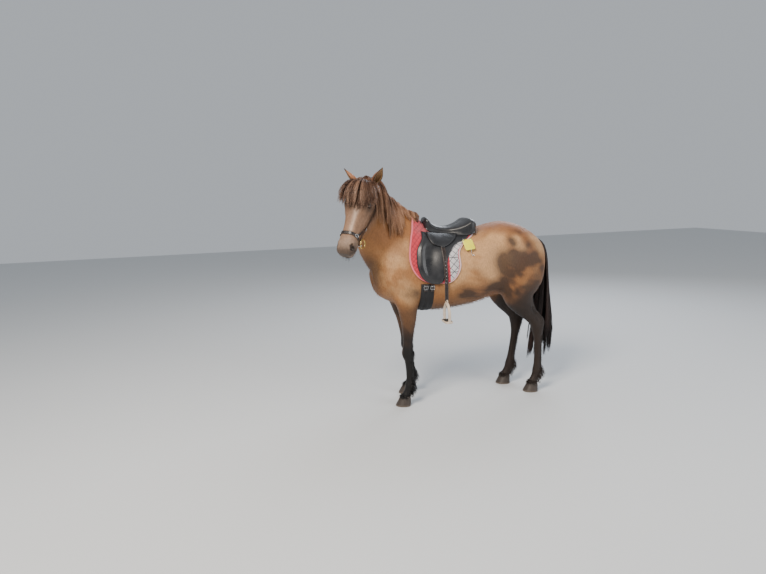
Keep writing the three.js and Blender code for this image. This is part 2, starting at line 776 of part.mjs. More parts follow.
// Saddle pad, flaps, girth and seat, each an outline in the side view wrapped on the body.
const PAD_OUTLINE = [
  [-178, 1420], [-170, 1310], [-70, 1245], [-8, 1180], [-2, 1080], [30, 985], [110, 962],
  [220, 966], [312, 1000], [362, 1080], [374, 1170], [350, 1290], [310, 1400], [300, 1460],
];
const FLAP_OUTLINE = [
  [-120, 1420], [-110, 1290], [20, 1235], [92, 1150], [112, 1040], [150, 962], [230, 955],
  [300, 1010], [322, 1110], [312, 1210], [262, 1300], [240, 1440],
];
const GIRTH_FROM = 186;
const GIRTH_TO = 296;
const GIRTH_TOP = 950;
// Seat: x, top, half width, from cantle to pommel.
const SEAT = [
  [-186, 1362, 96],
  [-172, 1412, 150],
  [-140, 1424, 166],
  [-92, 1398, 156],
  [-30, 1376, 134],
  [30, 1368, 108],
  [96, 1376, 92],
  [150, 1402, 86],
  [182, 1440, 80],
  [202, 1438, 66],
  [212, 1408, 48],
];

function seat(grow = 0) {
  return loft(
    Array.from({ length: 15 }, (_, i) => {
      const [x, top, wide] = between(SEAT, i / 14);
      const ends = i === 0 ? -grow : i === 14 ? grow : 0;
      return ring(V(x + ends, 0, top - 44), Y_AXIS, Z_AXIS, {
        wide: wide + grow,
        top: 44 + grow,
        bottom: 150,
        topPower: 2.6,
        bottomPower: 3,
      }, 16);
    }),
  );
}

const STIRRUP_X = 122;
const STIRRUP = { top: 838, bottom: 668, wide: 132, arm: 13, deep: 16, tread: 58, treadThick: 15 };
const LEATHER = { wide: 28, thick: 4, top: 1250, turn: 1000 };
const LEATHER_OUT = PAD_THICK + FLAP_THICK + 2; // the leather's inner face, out from the skin

function stirrupLeather(sign) {
  const half = LEATHER.wide / 2;
  const upper = across([
    [STIRRUP_X - half, LEATHER.turn], [STIRRUP_X + half, LEATHER.turn],
    [STIRRUP_X + half, LEATHER.top], [STIRRUP_X - half, LEATHER.top],
  ], sign > 0 ? 5 : -450, sign > 0 ? 450 : -5);
  const wrapTo = wrap(LEATHER_OUT, LEATHER_OUT + LEATHER.thick, upper);
  const reach = wrapTo.boundingBox();
  const outer = sign > 0 ? reach.max[1] : reach.min[1];
  const high = LEATHER.turn + 4;
  const low = STIRRUP.top + GAP;
  const strap = new THREE.BoxGeometry(LEATHER.wide, LEATHER.thick, high - low);
  strap.translate(STIRRUP_X, outer - (sign * LEATHER.thick) / 2, (high + low) / 2);
  return { solid: wrapTo.add(solidOf(strap)), outer };
}

// The hoop of a stirrup stands across the horse; its opening for the foot runs fore and aft.
function stirrupOutline(inset) {
  const { top, bottom, wide } = STIRRUP;
  const half = wide / 2 - inset;
  const low = bottom + (inset > 0 ? STIRRUP.treadThick : 0);
  const rising = [
    [-half * 0.94, low], [-half, low + 42], [-half * 0.9, (low + top) / 2], [-half * 0.5, top - 40 - inset],
  ];
  const falling = rising.map(([y, z]) => [-y, z]).reverse();
  return curveThrough([...rising, [0, top - 20 - inset], ...falling], false, 22);
}

function stirrup(sign, y) {
  const { top, bottom, wide, arm, deep, tread, treadThick } = STIRRUP;
  const prism = (outline, depth) => across(outline, -depth / 2, depth / 2);
  const hoop = prism(stirrupOutline(0), deep).subtract(prism(stirrupOutline(arm), deep * 2));
  const turned = hoop.rotate([0, 0, 90]).translate([STIRRUP_X, y, 0]);
  const block = (length, width, height, z) =>
    solidOf(new THREE.BoxGeometry(length, width, height).translate(STIRRUP_X, y, z));
  const plate = block(tread, wide - 4, treadThick, bottom + treadThick / 2);
  const eye = block(deep + 6, 40, 24, top - 12);
  return joined([turned, plate, eye]);
}

// The yellow number plate that hangs over the loin behind the seat.
const PLATE = { x: -84, z: 1232, wide: 77, tall: 101, thick: 3, tilt: -7 };

function numberPlate() {
  const turn = rad(PLATE.tilt);
  const corners = [[-1, -1], [1, -1], [1, 1], [-1, 1]].map(([a, b]) => {
    const [x, z] = [(a * PLATE.wide) / 2, (b * PLATE.tall * 0.72) / 2];
    const [c, s] = [Math.cos(turn), Math.sin(turn)];
    return [PLATE.x + x * c - z * s, PLATE.z + x * s + z * c];
  });
  const clear = PAD_THICK + FLAP_THICK + GAP;
  return wrap(clear, clear + PLATE.thick, across(corners, 5, 450));
}

// Assembly

const horse = new THREE.Group();
const finish = (color, roughness, metalness = 0) =>
  new THREE.MeshStandardMaterial({ color, roughness, metalness });
const finishes = {
  coat: finish("#a2703f", 0.75),
  dark_coat: finish("#2c211c", 0.75),
  tail_hair: finish("#221915", 0.6),
  hoof: finish("#3a332e", 0.5),
  eye: finish("#120b08", 0.08),
  leather: finish("#2a211c", 0.45),
  saddle: finish("#17181a", 0.4),
  pad: finish("#b3242f", 0.9),
  brass: finish("#c8a04a", 0.25, 1),
  stirrup: finish("#cdb9a4", 0.5),
  plate: finish("#e8dc3c", 0.45),
};

function addNode(name, solid, look) {
  const made = largest(solid);
  const mesh = made.getMesh();
  const geometry = new THREE.BufferGeometry();
  geometry.setAttribute("position", new THREE.BufferAttribute(new Float32Array(mesh.vertProperties), 3));
  geometry.setIndex(new THREE.BufferAttribute(mesh.triVerts, 1));
  geometry.computeVertexNormals();
  const node = new THREE.Mesh(geometry, finishes[look]);
  node.name = name;
  horse.add(node);
  return made;
}

const whole = bodyOfFlesh();
const inFront = side(whole, COLLAR_POINT, COLLAR_NORMAL);
const torso = side(whole, COLLAR_POINT, COLLAR_NORMAL, true);
const neckFlesh = inFront.subtract(headRegion(GAP));
const headFlesh = inFront.intersect(headRegion(0));
addNode("torso", torso, "coat");

// Tack on the trunk
const padRegion = across(curveThrough(PAD_OUTLINE, false, 22));
addNode("saddle_pad", wrap(GAP + 0.2, PAD_THICK, padRegion), "pad");
const flapRegion = curveThrough(FLAP_OUTLINE, false, 20);
for (const [name, sign] of [["left", 1], ["right", -1]]) {
  const half = sign > 0 ? [1, 450] : [-450, -1];
  const flap = wrap(PAD_THICK + GAP, PAD_THICK + FLAP_THICK, across(flapRegion, ...half));
  addNode("flap_" + name, flap, "saddle");
  const leather = stirrupLeather(sign);
  addNode("stirrup_leather_" + name, leather.solid.subtract(seat()), "leather");
  addNode("stirrup_" + name, stirrup(sign, leather.outer - (sign * LEATHER.thick) / 2), "stirrup");
}
const girthRegion = across([
  [GIRTH_FROM, 600], [GIRTH_TO, 600], [GIRTH_TO - 4, GIRTH_TOP], [GIRTH_FROM + 4, GIRTH_TOP],
]);
addNode("girth", wrap(GAP + 0.2, GIRTH_THICK, girthRegion), "saddle");
addNode("saddle_seat", seat().subtract(flesh(PAD_THICK + FLAP_THICK + GAP)), "saddle");
addNode("number_plate", numberPlate(), "plate");

// Legs
for (const leg of LEGS) {
  addNode("leg_" + leg, legBelow(leg), leg.startsWith("fore") ? "coat" : "dark_coat");
  addNode("hoof_" + leg, hoof(leg), "hoof");
}

// Head, with what sits in it and on it
const ears = [1, -1].map((sign) => ear(sign).subtract(head(GAP)).subtract(neck(GAP)));
const regions = bridleRegions();
const strapSpace = headShell(0.1, STRAP + GAP + 0.4, regions.headpiece.add(regions.noseband));
const earSpace = joined([1, -1].map((sign) => ear(sign, GAP + 0.1)));
const bitSpace = joined([1, -1].map((sign) => bitRing(sign, GAP)));
let headNode = joined([headFlesh, eyeLids(1), eyeLids(-1)]);
for (const sign of [1, -1]) headNode = headNode.subtract(eyeBall(sign, GAP)).subtract(nostril(sign));
headNode = headNode.subtract(mouthSlot());
const headLocks = forelock();
const forelockClear = joined(headLocks).subtract(strapSpace).subtract(earSpace);
const headHair = side(forelockClear, THROAT_POINT, THROAT_NORMAL);
headNode = headNode.add(headHair.subtract(joined([1, -1].map((sign) => eyeBall(sign, GAP)))));
addNode("head", headNode, "coat");
addNode("ear_left", ears[0], "coat");
addNode("ear_right", ears[1], "coat");
addNode("eye_left", eyeBall(1), "eye");
addNode("eye_right", eyeBall(-1), "eye");

// Neck with its mane, cut clear of all that it hangs against
const collarEdge = COLLAR_POINT.clone().addScaledVector(COLLAR_NORMAL, GAP);
const torsoSpace = side(flesh(GAP), collarEdge, COLLAR_NORMAL, true);
const headSpace = side(
  joined([head(GAP), neck(GAP), ...headLocks]),
  THROAT_POINT.clone().addScaledVector(THROAT_NORMAL, -GAP),
  THROAT_NORMAL,
);
const padSpace = wrap(0.1, PAD_THICK + FLAP_THICK + GAP + 0.3, padRegion);
const hair = [torsoSpace, headSpace, padSpace, seat(GAP + 2), strapSpace, earSpace, bitSpace].reduce(
  (locks, space) => locks.subtract(space),
  joined([...mane(), ...cheekLocks(1), ...cheekLocks(-1)]),
);
addNode("neck", neckFlesh.add(hair), "coat");
addNode("tail", joined(tail()).subtract(flesh(GAP)), "tail_hair");

// Bridle
const strapShell = (region) => headShell(GAP + 0.05, STRAP + GAP, region).subtract(bitSpace);
addNode("noseband", strapShell(regions.noseband), "leather");
const headpiece = strapShell(regions.headpiece.subtract(regions.nosebandSpace));
addNode("headpiece", headpiece.subtract(earSpace), "leather");
addNode("bit_left", bitRing(1).subtract(head(GAP)), "brass");
addNode("bit_right", bitRing(-1).subtract(head(GAP)), "brass");

horse.position.set(...FRAME_SHIFT);

export default horse;
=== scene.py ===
import math

import bmesh
import bpy
import numpy as np
import openvdb
from mathutils import Matrix, Vector

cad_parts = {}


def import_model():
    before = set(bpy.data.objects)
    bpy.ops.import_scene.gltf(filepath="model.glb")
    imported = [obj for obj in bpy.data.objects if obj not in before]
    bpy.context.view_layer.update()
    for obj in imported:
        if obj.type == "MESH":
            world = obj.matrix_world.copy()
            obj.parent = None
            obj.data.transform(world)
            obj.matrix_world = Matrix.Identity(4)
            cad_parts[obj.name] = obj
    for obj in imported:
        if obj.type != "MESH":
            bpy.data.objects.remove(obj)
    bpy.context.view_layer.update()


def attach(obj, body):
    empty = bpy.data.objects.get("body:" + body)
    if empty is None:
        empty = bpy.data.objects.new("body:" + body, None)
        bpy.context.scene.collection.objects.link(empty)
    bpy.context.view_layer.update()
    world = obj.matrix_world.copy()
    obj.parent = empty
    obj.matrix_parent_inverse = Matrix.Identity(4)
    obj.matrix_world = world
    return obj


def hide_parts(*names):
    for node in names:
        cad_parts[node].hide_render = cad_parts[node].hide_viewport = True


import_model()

# Room for the model: a plain pale floor, a pale room and three large soft lamps, with the camera
# low and to the front on the horse's left, as a visitor to a museum would stand.
HORSE_SHIFT = np.array([-22.0, -38.0, 0.0])  # millimetres, from the middle of the barrel


def colour(hex_code):
    """The linear colour of an sRGB hex value."""
    parts = [int(hex_code[i:i + 2], 16) / 255 for i in (1, 3, 5)]
    return tuple(c / 12.92 if c <= 0.04045 else ((c + 0.055) / 1.055) ** 2.4 for c in parts)


def node(tree, kind, settings=None, **inputs):
    """Adds a shader node with its settings, and links or sets its inputs by name or number."""
    made = tree.nodes.new(kind)
    for name, value in (settings or {}).items():
        setattr(made, name, value)
    for name, value in inputs.items():
        socket = made.inputs[int(name[1:])] if name[0] == "_" else made.inputs[name.replace("_", " ")]
        if isinstance(value, bpy.types.NodeSocket):
            tree.links.new(value, socket)
        elif isinstance(value, tuple) and len(value) == 3 and socket.type == "RGBA":
            socket.default_value = (*value, 1)
        else:
            socket.default_value = value
    return made


def new_material(name):
    made = bpy.data.materials.new(name)
    made.use_nodes = True
    made.node_tree.nodes.clear()
    return made, made.node_tree


def surface(tree, bump=None, **inputs):
    """A Principled shader with its output, and a bump of one height where there is one."""
    shader = node(tree, "ShaderNodeBsdfPrincipled", **inputs)
    if bump is not None:
        height, strength, distance = bump
        tilt = node(tree, "ShaderNodeBump", Strength=strength, Distance=distance, Height=height)
        tree.links.new(tilt.outputs[0], shader.inputs["Normal"])
    out = node(tree, "ShaderNodeOutputMaterial")
    tree.links.new(shader.outputs[0], out.inputs[0])


def object_place(tree):
    return node(tree, "ShaderNodeTexCoord").outputs["Object"]


def own_values(tree, name):
    """What a piece keeps at its points under a name, as colour, vector and number."""
    return node(tree, "ShaderNodeAttribute", {"attribute_name": name}).outputs


def noise(tree, place, scale, detail):
    return node(tree, "ShaderNodeTexNoise", Vector=place, Scale=scale, Detail=detail).outputs[0]


def span(tree, value, low, high, start=0.3, end=0.7):
    """A value between start and end, read as one between low and high. Most of a noise lies in 0.3 to 0.7."""
    return node(tree, "ShaderNodeMapRange", _0=value, _1=start, _2=end, _3=low, _4=high).outputs[0]


def blend(tree, share, first, second):
    """Goes from the first colour, or hex value, to the second by a share."""
    first, second = (colour(c) if isinstance(c, str) else c for c in (first, second))
    return node(tree, "ShaderNodeMix", {"data_type": "RGBA"}, Factor=share, _6=first, _7=second).outputs[2]


def scaled(tree, shade, factor):
    """A colour made darker or lighter by a factor."""
    return node(tree, "ShaderNodeVectorMath", {"operation": "SCALE"}, _0=shade, Scale=factor).outputs[0]


def maths(tree, kind, first, second=0.5):
    return node(tree, "ShaderNodeMath", {"operation": kind}, _0=first, _1=second).outputs[0]


def put(name, data):
    made = bpy.data.objects.new(name, data)
    bpy.context.scene.collection.objects.link(made)
    return made


floor_finish, tree = new_material("Painted_board")
spot = node(tree, "ShaderNodeTexNoise", Scale=3.0, Detail=4.0).outputs[0]
surface(tree, Base_Color=blend(tree, spot, "#c9ccce", "#cfd1d2"), Roughness=0.85)
floor_mesh = bpy.data.meshes.new("floor")
floor_mesh.from_pydata([(-14, -14, 0), (14, -14, 0), (14, 14, 0), (-14, 14, 0)], [], [(0, 1, 2, 3)])
floor_mesh.materials.append(floor_finish)
put("floor", floor_mesh)

room = bpy.data.worlds.new("room")
room.use_nodes = True
room.node_tree.nodes["Background"].inputs[0].default_value = (*colour("#dfe5ec"), 1)
room.node_tree.nodes["Background"].inputs[1].default_value = 0.62
bpy.context.scene.world = room


def lamp(name, place, aim, size, power, tint="#ffffff"):
    data = bpy.data.lights.new(name, "AREA")
    data.energy = power
    data.size = size
    data.color = colour(tint)
    made = put(name, data)
    made.location = place
    made.rotation_mode = "QUATERNION"
    made.rotation_quaternion = (Vector(aim) - Vector(place)).to_track_quat("-Z", "Y")


lamp("key_lamp", (3.2, 3.4, 5.2), (0, 0, 0.9), 2.2, 520, "#fff4e6")
lamp("back_lamp", (-3.0, -3.6, 4.2), (0, 0, 1.0), 3.0, 170, "#eef4ff")
lamp("side_lamp", (-3.6, 3.8, 2.6), (0, 0, 0.9), 3.0, 120)

# the camera stands 4.70 m away and 1.65 m up, and its lens is 600 pixels long over a width of 766
view_turn, view_drop, view_roll = math.radians(12.4), math.radians(9.1), math.radians(1.89)
depth = Vector((-math.sin(view_turn), -math.cos(view_turn), 0))
right = Vector((-math.cos(view_turn), math.sin(view_turn), 0))
eye_place = Vector(HORSE_SHIFT / 1000) - 0.522 * right - 4.70 * depth + Vector((0, 0, 1.65))
ahead = depth * math.cos(view_drop) - Vector((0, 0, 1)) * math.sin(view_drop)
level_up = Vector((0, 0, 1)) * math.cos(view_drop) + depth * math.sin(view_drop)
view_right = right * math.cos(view_roll) - level_up * math.sin(view_roll)
view_up = right * math.sin(view_roll) + level_up * math.cos(view_roll)
camera = put("camera", bpy.data.cameras.new("camera"))
camera.matrix_world = (
    Matrix.Translation(eye_place) @ Matrix((view_right, view_up, -ahead)).transposed().to_4x4()
)
camera.data.sensor_width = 36
camera.data.lens = 36 * 600 / 766
bpy.context.scene.camera = camera

# Flesh: one body under one skin, from the withers to the fetlocks and out to the muzzle. It is laid
# out in millimetres as sections along each part, which melt into each other as muscle does.
TRUNK = np.array([  # x, top, bottom, half width, height of the widest place
    [-774, 1165, 985, 70, 1080], [-748, 1224, 900, 150, 1085], [-680, 1290, 838, 215, 1085],
    [-580, 1350, 800, 250, 1080], [-450, 1386, 800, 258, 1080], [-330, 1374, 790, 262, 1050],
    [-190, 1338, 752, 284, 1010], [-40, 1312, 728, 296, 990], [110, 1312, 716, 288, 985],
    [230, 1345, 722, 254, 985], [340, 1390, 745, 226, 985], [440, 1372, 780, 214, 990],
    [530, 1290, 820, 190, 1000], [590, 1180, 868, 140, 1010], [618, 1090, 930, 70, 1010],
], float)
FORELEG = np.array([  # x, distance from the midline, z, half width, reach forward, reach back
    [418, 118, 1150, 62, 105, 125], [430, 132, 1020, 84, 118, 125], [412, 140, 900, 84, 104, 112],
    [388, 144, 800, 74, 82, 92], [380, 144, 710, 60, 64, 70], [382, 142, 600, 46, 48, 52],
    [386, 140, 490, 37, 39, 42], [390, 140, 430, 41, 42, 44], [388, 140, 388, 40, 41, 48],
    [384, 140, 345, 31, 31, 40], [381, 140, 270, 25, 26, 34], [380, 140, 200, 26, 27, 35],
    [382, 140, 158, 34, 34, 40], [392, 141, 122, 31, 30, 34], [406, 142, 88, 33, 32, 32],
    [414, 143, 66, 41, 40, 38], [424, 144, 40, 38, 36, 34],
], float)
HINDLEG = np.array([
    [-500, 92, 1240, 70, 130, 150], [-540, 118, 1120, 108, 170, 190], [-550, 130, 990, 124, 178, 196],
    [-535, 134, 880, 118, 160, 172], [-540, 134, 790, 96, 128, 132], [-580, 132, 710, 70, 92, 92],
    [-632, 130, 640, 52, 62, 64], [-676, 128, 585, 44, 50, 62], [-698, 127, 540, 44, 50, 64],
    [-708, 126, 490, 40, 44, 50], [-712, 126, 430, 30, 34, 38], [-712, 127, 330, 26, 29, 36],
    [-710, 128, 230, 28, 30, 38], [-706, 129, 168, 36, 36, 43], [-694, 130, 130, 32, 31, 36],
    [-678, 131, 94, 34, 33, 33], [-668, 132, 68, 42, 42, 40], [-659, 133, 42, 38, 38, 34],
], float)
FOOT_FORWARD = {"fore_left": 0, "fore_right": -95, "hind_left": 10, "hind_right": 135}
NECK = np.array([  # x, y, z of the middle, reach to the crest and throat, half width, turn in degrees
    [330, 0, 1120, 262, 250, 120, 0], [430, 4, 1215, 276, 262, 134, 4], [520, 24, 1308, 266, 238, 120, 14],
    [588, 62, 1400, 242, 205, 106, 26], [632, 108, 1488, 214, 165, 94, 35],
    [656, 146, 1568, 188, 136, 84, 40], [660, 172, 1636, 158, 112, 76, 43], [656, 188, 1690, 100, 72, 60, 44],
], float)
SKULL = np.array([  # distance down the face, widest height, reach to profile and jaw, half width
    [-30, -62, 52, 40, 42], [0, -50, 76, 92, 68], [50, -34, 88, 150, 86], [110, -22, 86, 180, 98],
    [170, -16, 78, 178, 104], [225, -20, 72, 164, 97], [285, -30, 70, 142, 82], [350, -38, 68, 118, 70],
    [415, -42, 66, 96, 66], [465, -44, 64, 86, 69], [510, -46, 60, 78, 71], [545, -48, 48, 66, 63],
    [569, -50, 28, 44, 42],
], float)
POLL = np.array([682.0, 216.0, 1716.0])
COAT_DEPTH = 3.0

face_turn, face_drop, face_tilt = math.radians(44), math.radians(56), math.radians(-8)
DOWN_FACE = np.array([math.cos(face_drop) * math.cos(face_turn), math.cos(face_drop) * math.sin(face_turn),
                      -math.sin(face_drop)])
FACE_LEFT = np.array(Matrix.Rotation(face_tilt, 3, Vector(DOWN_FACE))
                     @ Vector((-math.sin(face_turn), math.cos(face_turn), 0)))
FACE_OUT = np.cross(DOWN_FACE, FACE_LEFT)
FACE_AXES = np.array([DOWN_FACE, FACE_OUT, FACE_LEFT])


def between(rows, t):
    """Rows read smoothly at any places from the first (0) to the last (1)."""
    spans = len(rows) - 1
    at = np.clip(t, 0, 1) * spans
    i = np.minimum(at.astype(int), spans - 1)
    f = (at - i)[:, None]
    p0, p1, p2, p3 = (rows[np.clip(i + k, 0, spans)] for k in (-1, 0, 1, 2))
    return ((2 * f**3 - 3 * f**2 + 1) * p1 + (f**3 - 2 * f**2 + f) * (p2 - p0) / 2
            + (3 * f**2 - 2 * f**3) * p2 + (f**3 - f**2) * (p3 - p1) / 2)


def unit(v):
    """Directions with a length of one."""
    return v / np.linalg.norm(v, axis=-1, keepdims=True)


READ_STEPS = 800
READ_AT = np.linspace(0, 1, READ_STEPS + 1)


def laid_out(rows):
    """Rows read at even steps, with the heading and the speed of the middle line after them."""
    made = between(rows, READ_AT)
    if rows is TRUNK or rows is SKULL:
        return made
    run = np.gradient(made[:, :3], READ_AT, axis=0)
    speed = np.linalg.norm(run, axis=1)[:, None]
    return np.hstack([made, run / speed, speed])


def read(table, t):
    i = np.clip((t * READ_STEPS).astype(int), 0, READ_STEPS - 1)
    f = (t * READ_STEPS - i)[:, None]
    return table[i] * (1 - f) + table[i + 1] * f


def oval(u, w, top, bottom, wide, top_power, bottom_power):
    """How far a point lies out of a section that is rounder or squarer above and below its middle."""
    reach = np.where(u >= 0, top, bottom)
    power = np.where(u >= 0, top_power, bottom_power)
    share = ((np.abs(u) / reach) ** power + (np.abs(w) / wide) ** power) ** (1 / power)
    return np.hypot(u, w) * (1 - 1 / np.maximum(share, 0.02))


def melt(a, b, blend):
    """Two bodies as one, with a soft hollow of the blend's size where they meet."""
    h = np.clip(0.5 + 0.5 * (b - a) / blend, 0, 1)
    return b * (1 - h) + a * h - blend * h * (1 - h)


def ridge(points, start, end, radius, height):
    """A soft ridge, or a hollow where the height is negative, along a line from start to end."""
    start, end = np.array(start, float), np.array(end, float)
    run = end - start
    t = np.clip((points - start) @ run / (run @ run + 1e-9), 0, 1)
    away = ((points - start - t[:, None] * run) ** 2).sum(1)
    return height * np.exp(-away / radius**2)


def ball(points, centre, radii):
    """Roughly how far points lie out of an ellipsoid."""
    share = np.sqrt((((points - np.array(centre)) / np.array(radii)) ** 2).sum(1))
    return (share - 1) * min(radii)


TRUNK_FORMS = [  # start, end, radius and height of each mass or hollow, on the left side
    ((330, 95, 1340), (500, 175, 1040), 58, 7),  # shoulder blade
    ((210, 250, 1180), (262, 232, 960), 46, -8),  # behind the shoulder
    ((318, 205, 1040), (352, 205, 920), 62, 13),  # upper arm
    ((540, 128, 1050), (545, 120, 1020), 44, 15),  # point of the shoulder
    ((592, 62, 1010), (570, 70, 940), 46, 17),  # breast
    ((640, 0, 1080), (600, 0, 880), 22, -14),  # between the breasts
    ((-372, 205, 1262), (-384, 200, 1240), 40, 13),  # point of the hip
    ((-318, 236, 1180), (-330, 250, 1060), 52, -10),  # flank
    ((-520, 150, 1320), (-560, 190, 1220), 95, 7),  # croup
    ((-400, 235, 1060), (-430, 215, 960), 78, 9),  # thigh
    ((-700, 150, 1180), (-712, 132, 930), 60, 9),  # buttock
    ((-664, 205, 1190), (-690, 180, 900), 20, -6),  # groove down the thigh
    ((-790, 0, 1150), (-780, 0, 950), 26, -22),  # between the buttocks
    ((-424, 200, 900), (-420, 190, 860), 40, 14),  # stifle
    ((-300, 120, 775), (60, 110, 700), 60, -5),  # edge of the belly
]
FORE_FORMS = [
    ((446, 190, 960), (428, 172, 700), 40, 9),  # muscle down the front of the forearm
    ((352, 180, 890), (362, 160, 640), 38, 7),
    ((398, 214, 880), (396, 186, 640), 13, -5),
    ((332, 140, 930), (330, 146, 900), 34, 16),  # elbow
    ((428, 122, 416), (430, 158, 392), 20, 4),  # knee
    ((340, 140, 416), (342, 140, 392), 16, 11),
    ((362, 168, 350), (360, 168, 180), 9, -5),  # between bone and tendons
    ((362, 112, 350), (360, 112, 180), 9, -5),
    ((348, 128, 152), (348, 152, 152), 18, 7),  # back of the fetlock
    ((398, 141, 104), (404, 142, 96), 16, -3),
    ((372, 142, 80), (376, 142, 76), 16, -5),
]
HIND_FORMS = [
    ((-490, 205, 840), (-596, 180, 690), 44, 8),  # muscle over the shin
    ((-640, 130, 770), (-742, 128, 600), 15, 9),  # tendon behind the shin
    ((-628, 176, 700), (-700, 160, 604), 17, -9),
    ((-628, 84, 700), (-700, 94, 604), 17, -9),
    ((-762, 128, 602), (-764, 127, 560), 20, 13),  # point of the hock
    ((-660, 100, 575), (-668, 96, 545), 18, 6),
    ((-662, 158, 575), (-668, 160, 545), 18, 5),
    ((-736, 155, 460), (-734, 156, 190), 9, -5),
    ((-736, 98, 460), (-734, 100, 190), 9, -5),
    ((-748, 117, 166), (-748, 141, 166), 19, 7),
    ((-716, 131, 92), (-712, 131, 84), 15, -5),
]
NECK_FORMS = [  # share of the way up, then out towards the crest and to the side in millimetres
    ((0.10, -150, 100), (0.80, -62, 62), 24, -8),  # groove over the windpipe
    ((0.10, -215, 10), (0.85, -110, 8), 40, 6),  # windpipe
    ((0.15, 60, 120), (0.85, 40, 80), 60, 5),
    ((0.20, 190, 70), (0.85, 110, 45), 40, -6),  # under the crest
    ((0.95, -20, 80), (0.98, -45, 70), 26, 6),
]
HEAD_FORMS = [  # down the face, out of it and to the side
    ((150, 26, 76), (216, 24, 80), 14, 7),  # brow
    ((122, 40, 68), (136, 38, 70), 17, -9),  # hollow over the eye
    ((158, 4, 103), (96, -4, 92), 13, 5),  # cheekbone
    ((216, -34, 94), (330, -52, 68), 11, 7),  # crest of the face
    ((270, 34, 34), (440, 10, 26), 14, 3),  # edge of the nose
    ((292, 0, 66), (410, -14, 52), 20, -6),
    ((250, -70, 82), (300, -74, 66), 22, -5),
    ((30, -120, 72), (205, -170, 46), 16, 4),  # rim of the jaw
    ((222, -10, 92), (236, -16, 88), 10, -4),  # corner of the eye
    ((494, 8, 40), (532, -6, 42), 10, 6),  # inner rim of the nostril
    ((506, -34, 70), (536, -42, 62), 10, 5),  # outer rim
    ((486, -8, 62), (500, 2, 52), 12, 4),
    ((548, -66, 0), (556, -70, 0), 18, 3),
    ((480, -96, 56), (500, -92, 58), 14, 3),  # corner of the mouth
]
EYE = {"down": 188, "out": 2, "side": 86, "radius": 19}


def limb_rows(leg):
    kind, hand = leg.split("_")
    rows = (FORELEG if kind == "fore" else HINDLEG).copy()
    rows[:, 0] += FOOT_FORWARD[leg] * leg_swing(leg, rows[:, 2])
    rows[:, 1] *= 1 if hand == "left" else -1
    return rows


def leg_swing(leg, height):
    top = 900 if leg.startswith("fore") else 950
    down = np.clip((top - height) / (top - 150), 0, 1)
    return down * down * (3 - 2 * down) * 0.35 + down * 0.65


LAID = {"trunk": laid_out(TRUNK), "neck": laid_out(NECK), "skull": laid_out(SKULL)}
LAID.update({leg: laid_out(limb_rows(leg)) for leg in FOOT_FORWARD})


def nearest_on(points, name, t):
    """Places along a bent part where its section passes through each point, and its rows there."""
    for _ in range(4):
        rows = read(LAID[name], t)
        t = np.clip(t + 0.9 * ((points - rows[:, :3]) * rows[:, -4:-1]).sum(1) / rows[:, -1], 0, 1)
    rows = read(LAID[name], t)
    beyond = np.abs(((points - rows[:, :3]) * rows[:, -4:-1]).sum(1))
    return t, rows, np.where((t > 0) & (t < 1), -200, beyond)


def trunk_field(p):
    rows = read(LAID["trunk"], np.interp(p[:, 0], LAID["trunk"][:, 0], READ_AT))
    f = oval(p[:, 2] - rows[:, 4], p[:, 1], rows[:, 1] - rows[:, 4], rows[:, 4] - rows[:, 2],
             rows[:, 3], 2.15, 2.1)
    f = np.maximum(f, np.maximum(p[:, 0] - TRUNK[-1, 0], TRUNK[0, 0] - p[:, 0]))
    mirrored = np.column_stack([p[:, 0], np.abs(p[:, 1]), p[:, 2]])
    for form in TRUNK_FORMS:
        f = f - ridge(mirrored, *form)
    return f


def limb_field(p, leg):
    t = np.interp(-p[:, 2], -LAID[leg][:, 2], READ_AT)
    t, rows, beyond = nearest_on(p, leg, t)
    forward = unit(np.column_stack([-rows[:, 8], np.zeros(len(p)), rows[:, 6]]))
    off = p - rows[:, :3]
    f = oval((off * forward).sum(1), off[:, 1], rows[:, 4], rows[:, 5], rows[:, 3], 2.1, 2.0)
    f = np.maximum(f, beyond)
    sign = 1 if leg.endswith("left") else -1
    forward_by = FOOT_FORWARD[leg] * leg_swing(leg, p[:, 2])
    settled = np.column_stack([p[:, 0] - forward_by, sign * p[:, 1], p[:, 2]])
    for form in FORE_FORMS if leg.startswith("fore") else HIND_FORMS:
        f = f - ridge(settled, *form)
    return f


def neck_frame(rows):
    """The directions to the crest and to the left at rows of the neck."""
    turn = np.radians(rows[:, 6])
    left = np.column_stack([-np.sin(turn), np.cos(turn), 0 * turn])
    return unit(np.cross(rows[:, -4:-1], left)), left


NECK_LENGTH = 700.0


def neck_field(p):
    axis = NECK[-1, :3] - NECK[0, :3]
    start = np.clip((p - NECK[0, :3]) @ axis / (axis @ axis), 0, 1)
    t, rows, beyond = nearest_on(p, "neck", start)
    crest, left = neck_frame(rows)
    off = p - rows[:, :3]
    u, w = (off * crest).sum(1), (off * left).sum(1)
    f = np.maximum(oval(u, w, rows[:, 3], rows[:, 4], rows[:, 5], 1.75, 2.2), beyond)
    local = np.column_stack([t * NECK_LENGTH, u, np.abs(w)])
    for (t0, u0, w0), (t1, u1, w1), radius, height in NECK_FORMS:
        f = f - ridge(local, (t0 * NECK_LENGTH, u0, w0), (t1 * NECK_LENGTH, u1, w1), radius, height)
    return f


def face_place(p):
    """Points in the head's own frame: down the face from the poll, out of it, and to its left."""
    return (p - POLL) @ FACE_AXES.T


def from_face(place):
    return POLL + np.asarray(place, float) @ FACE_AXES


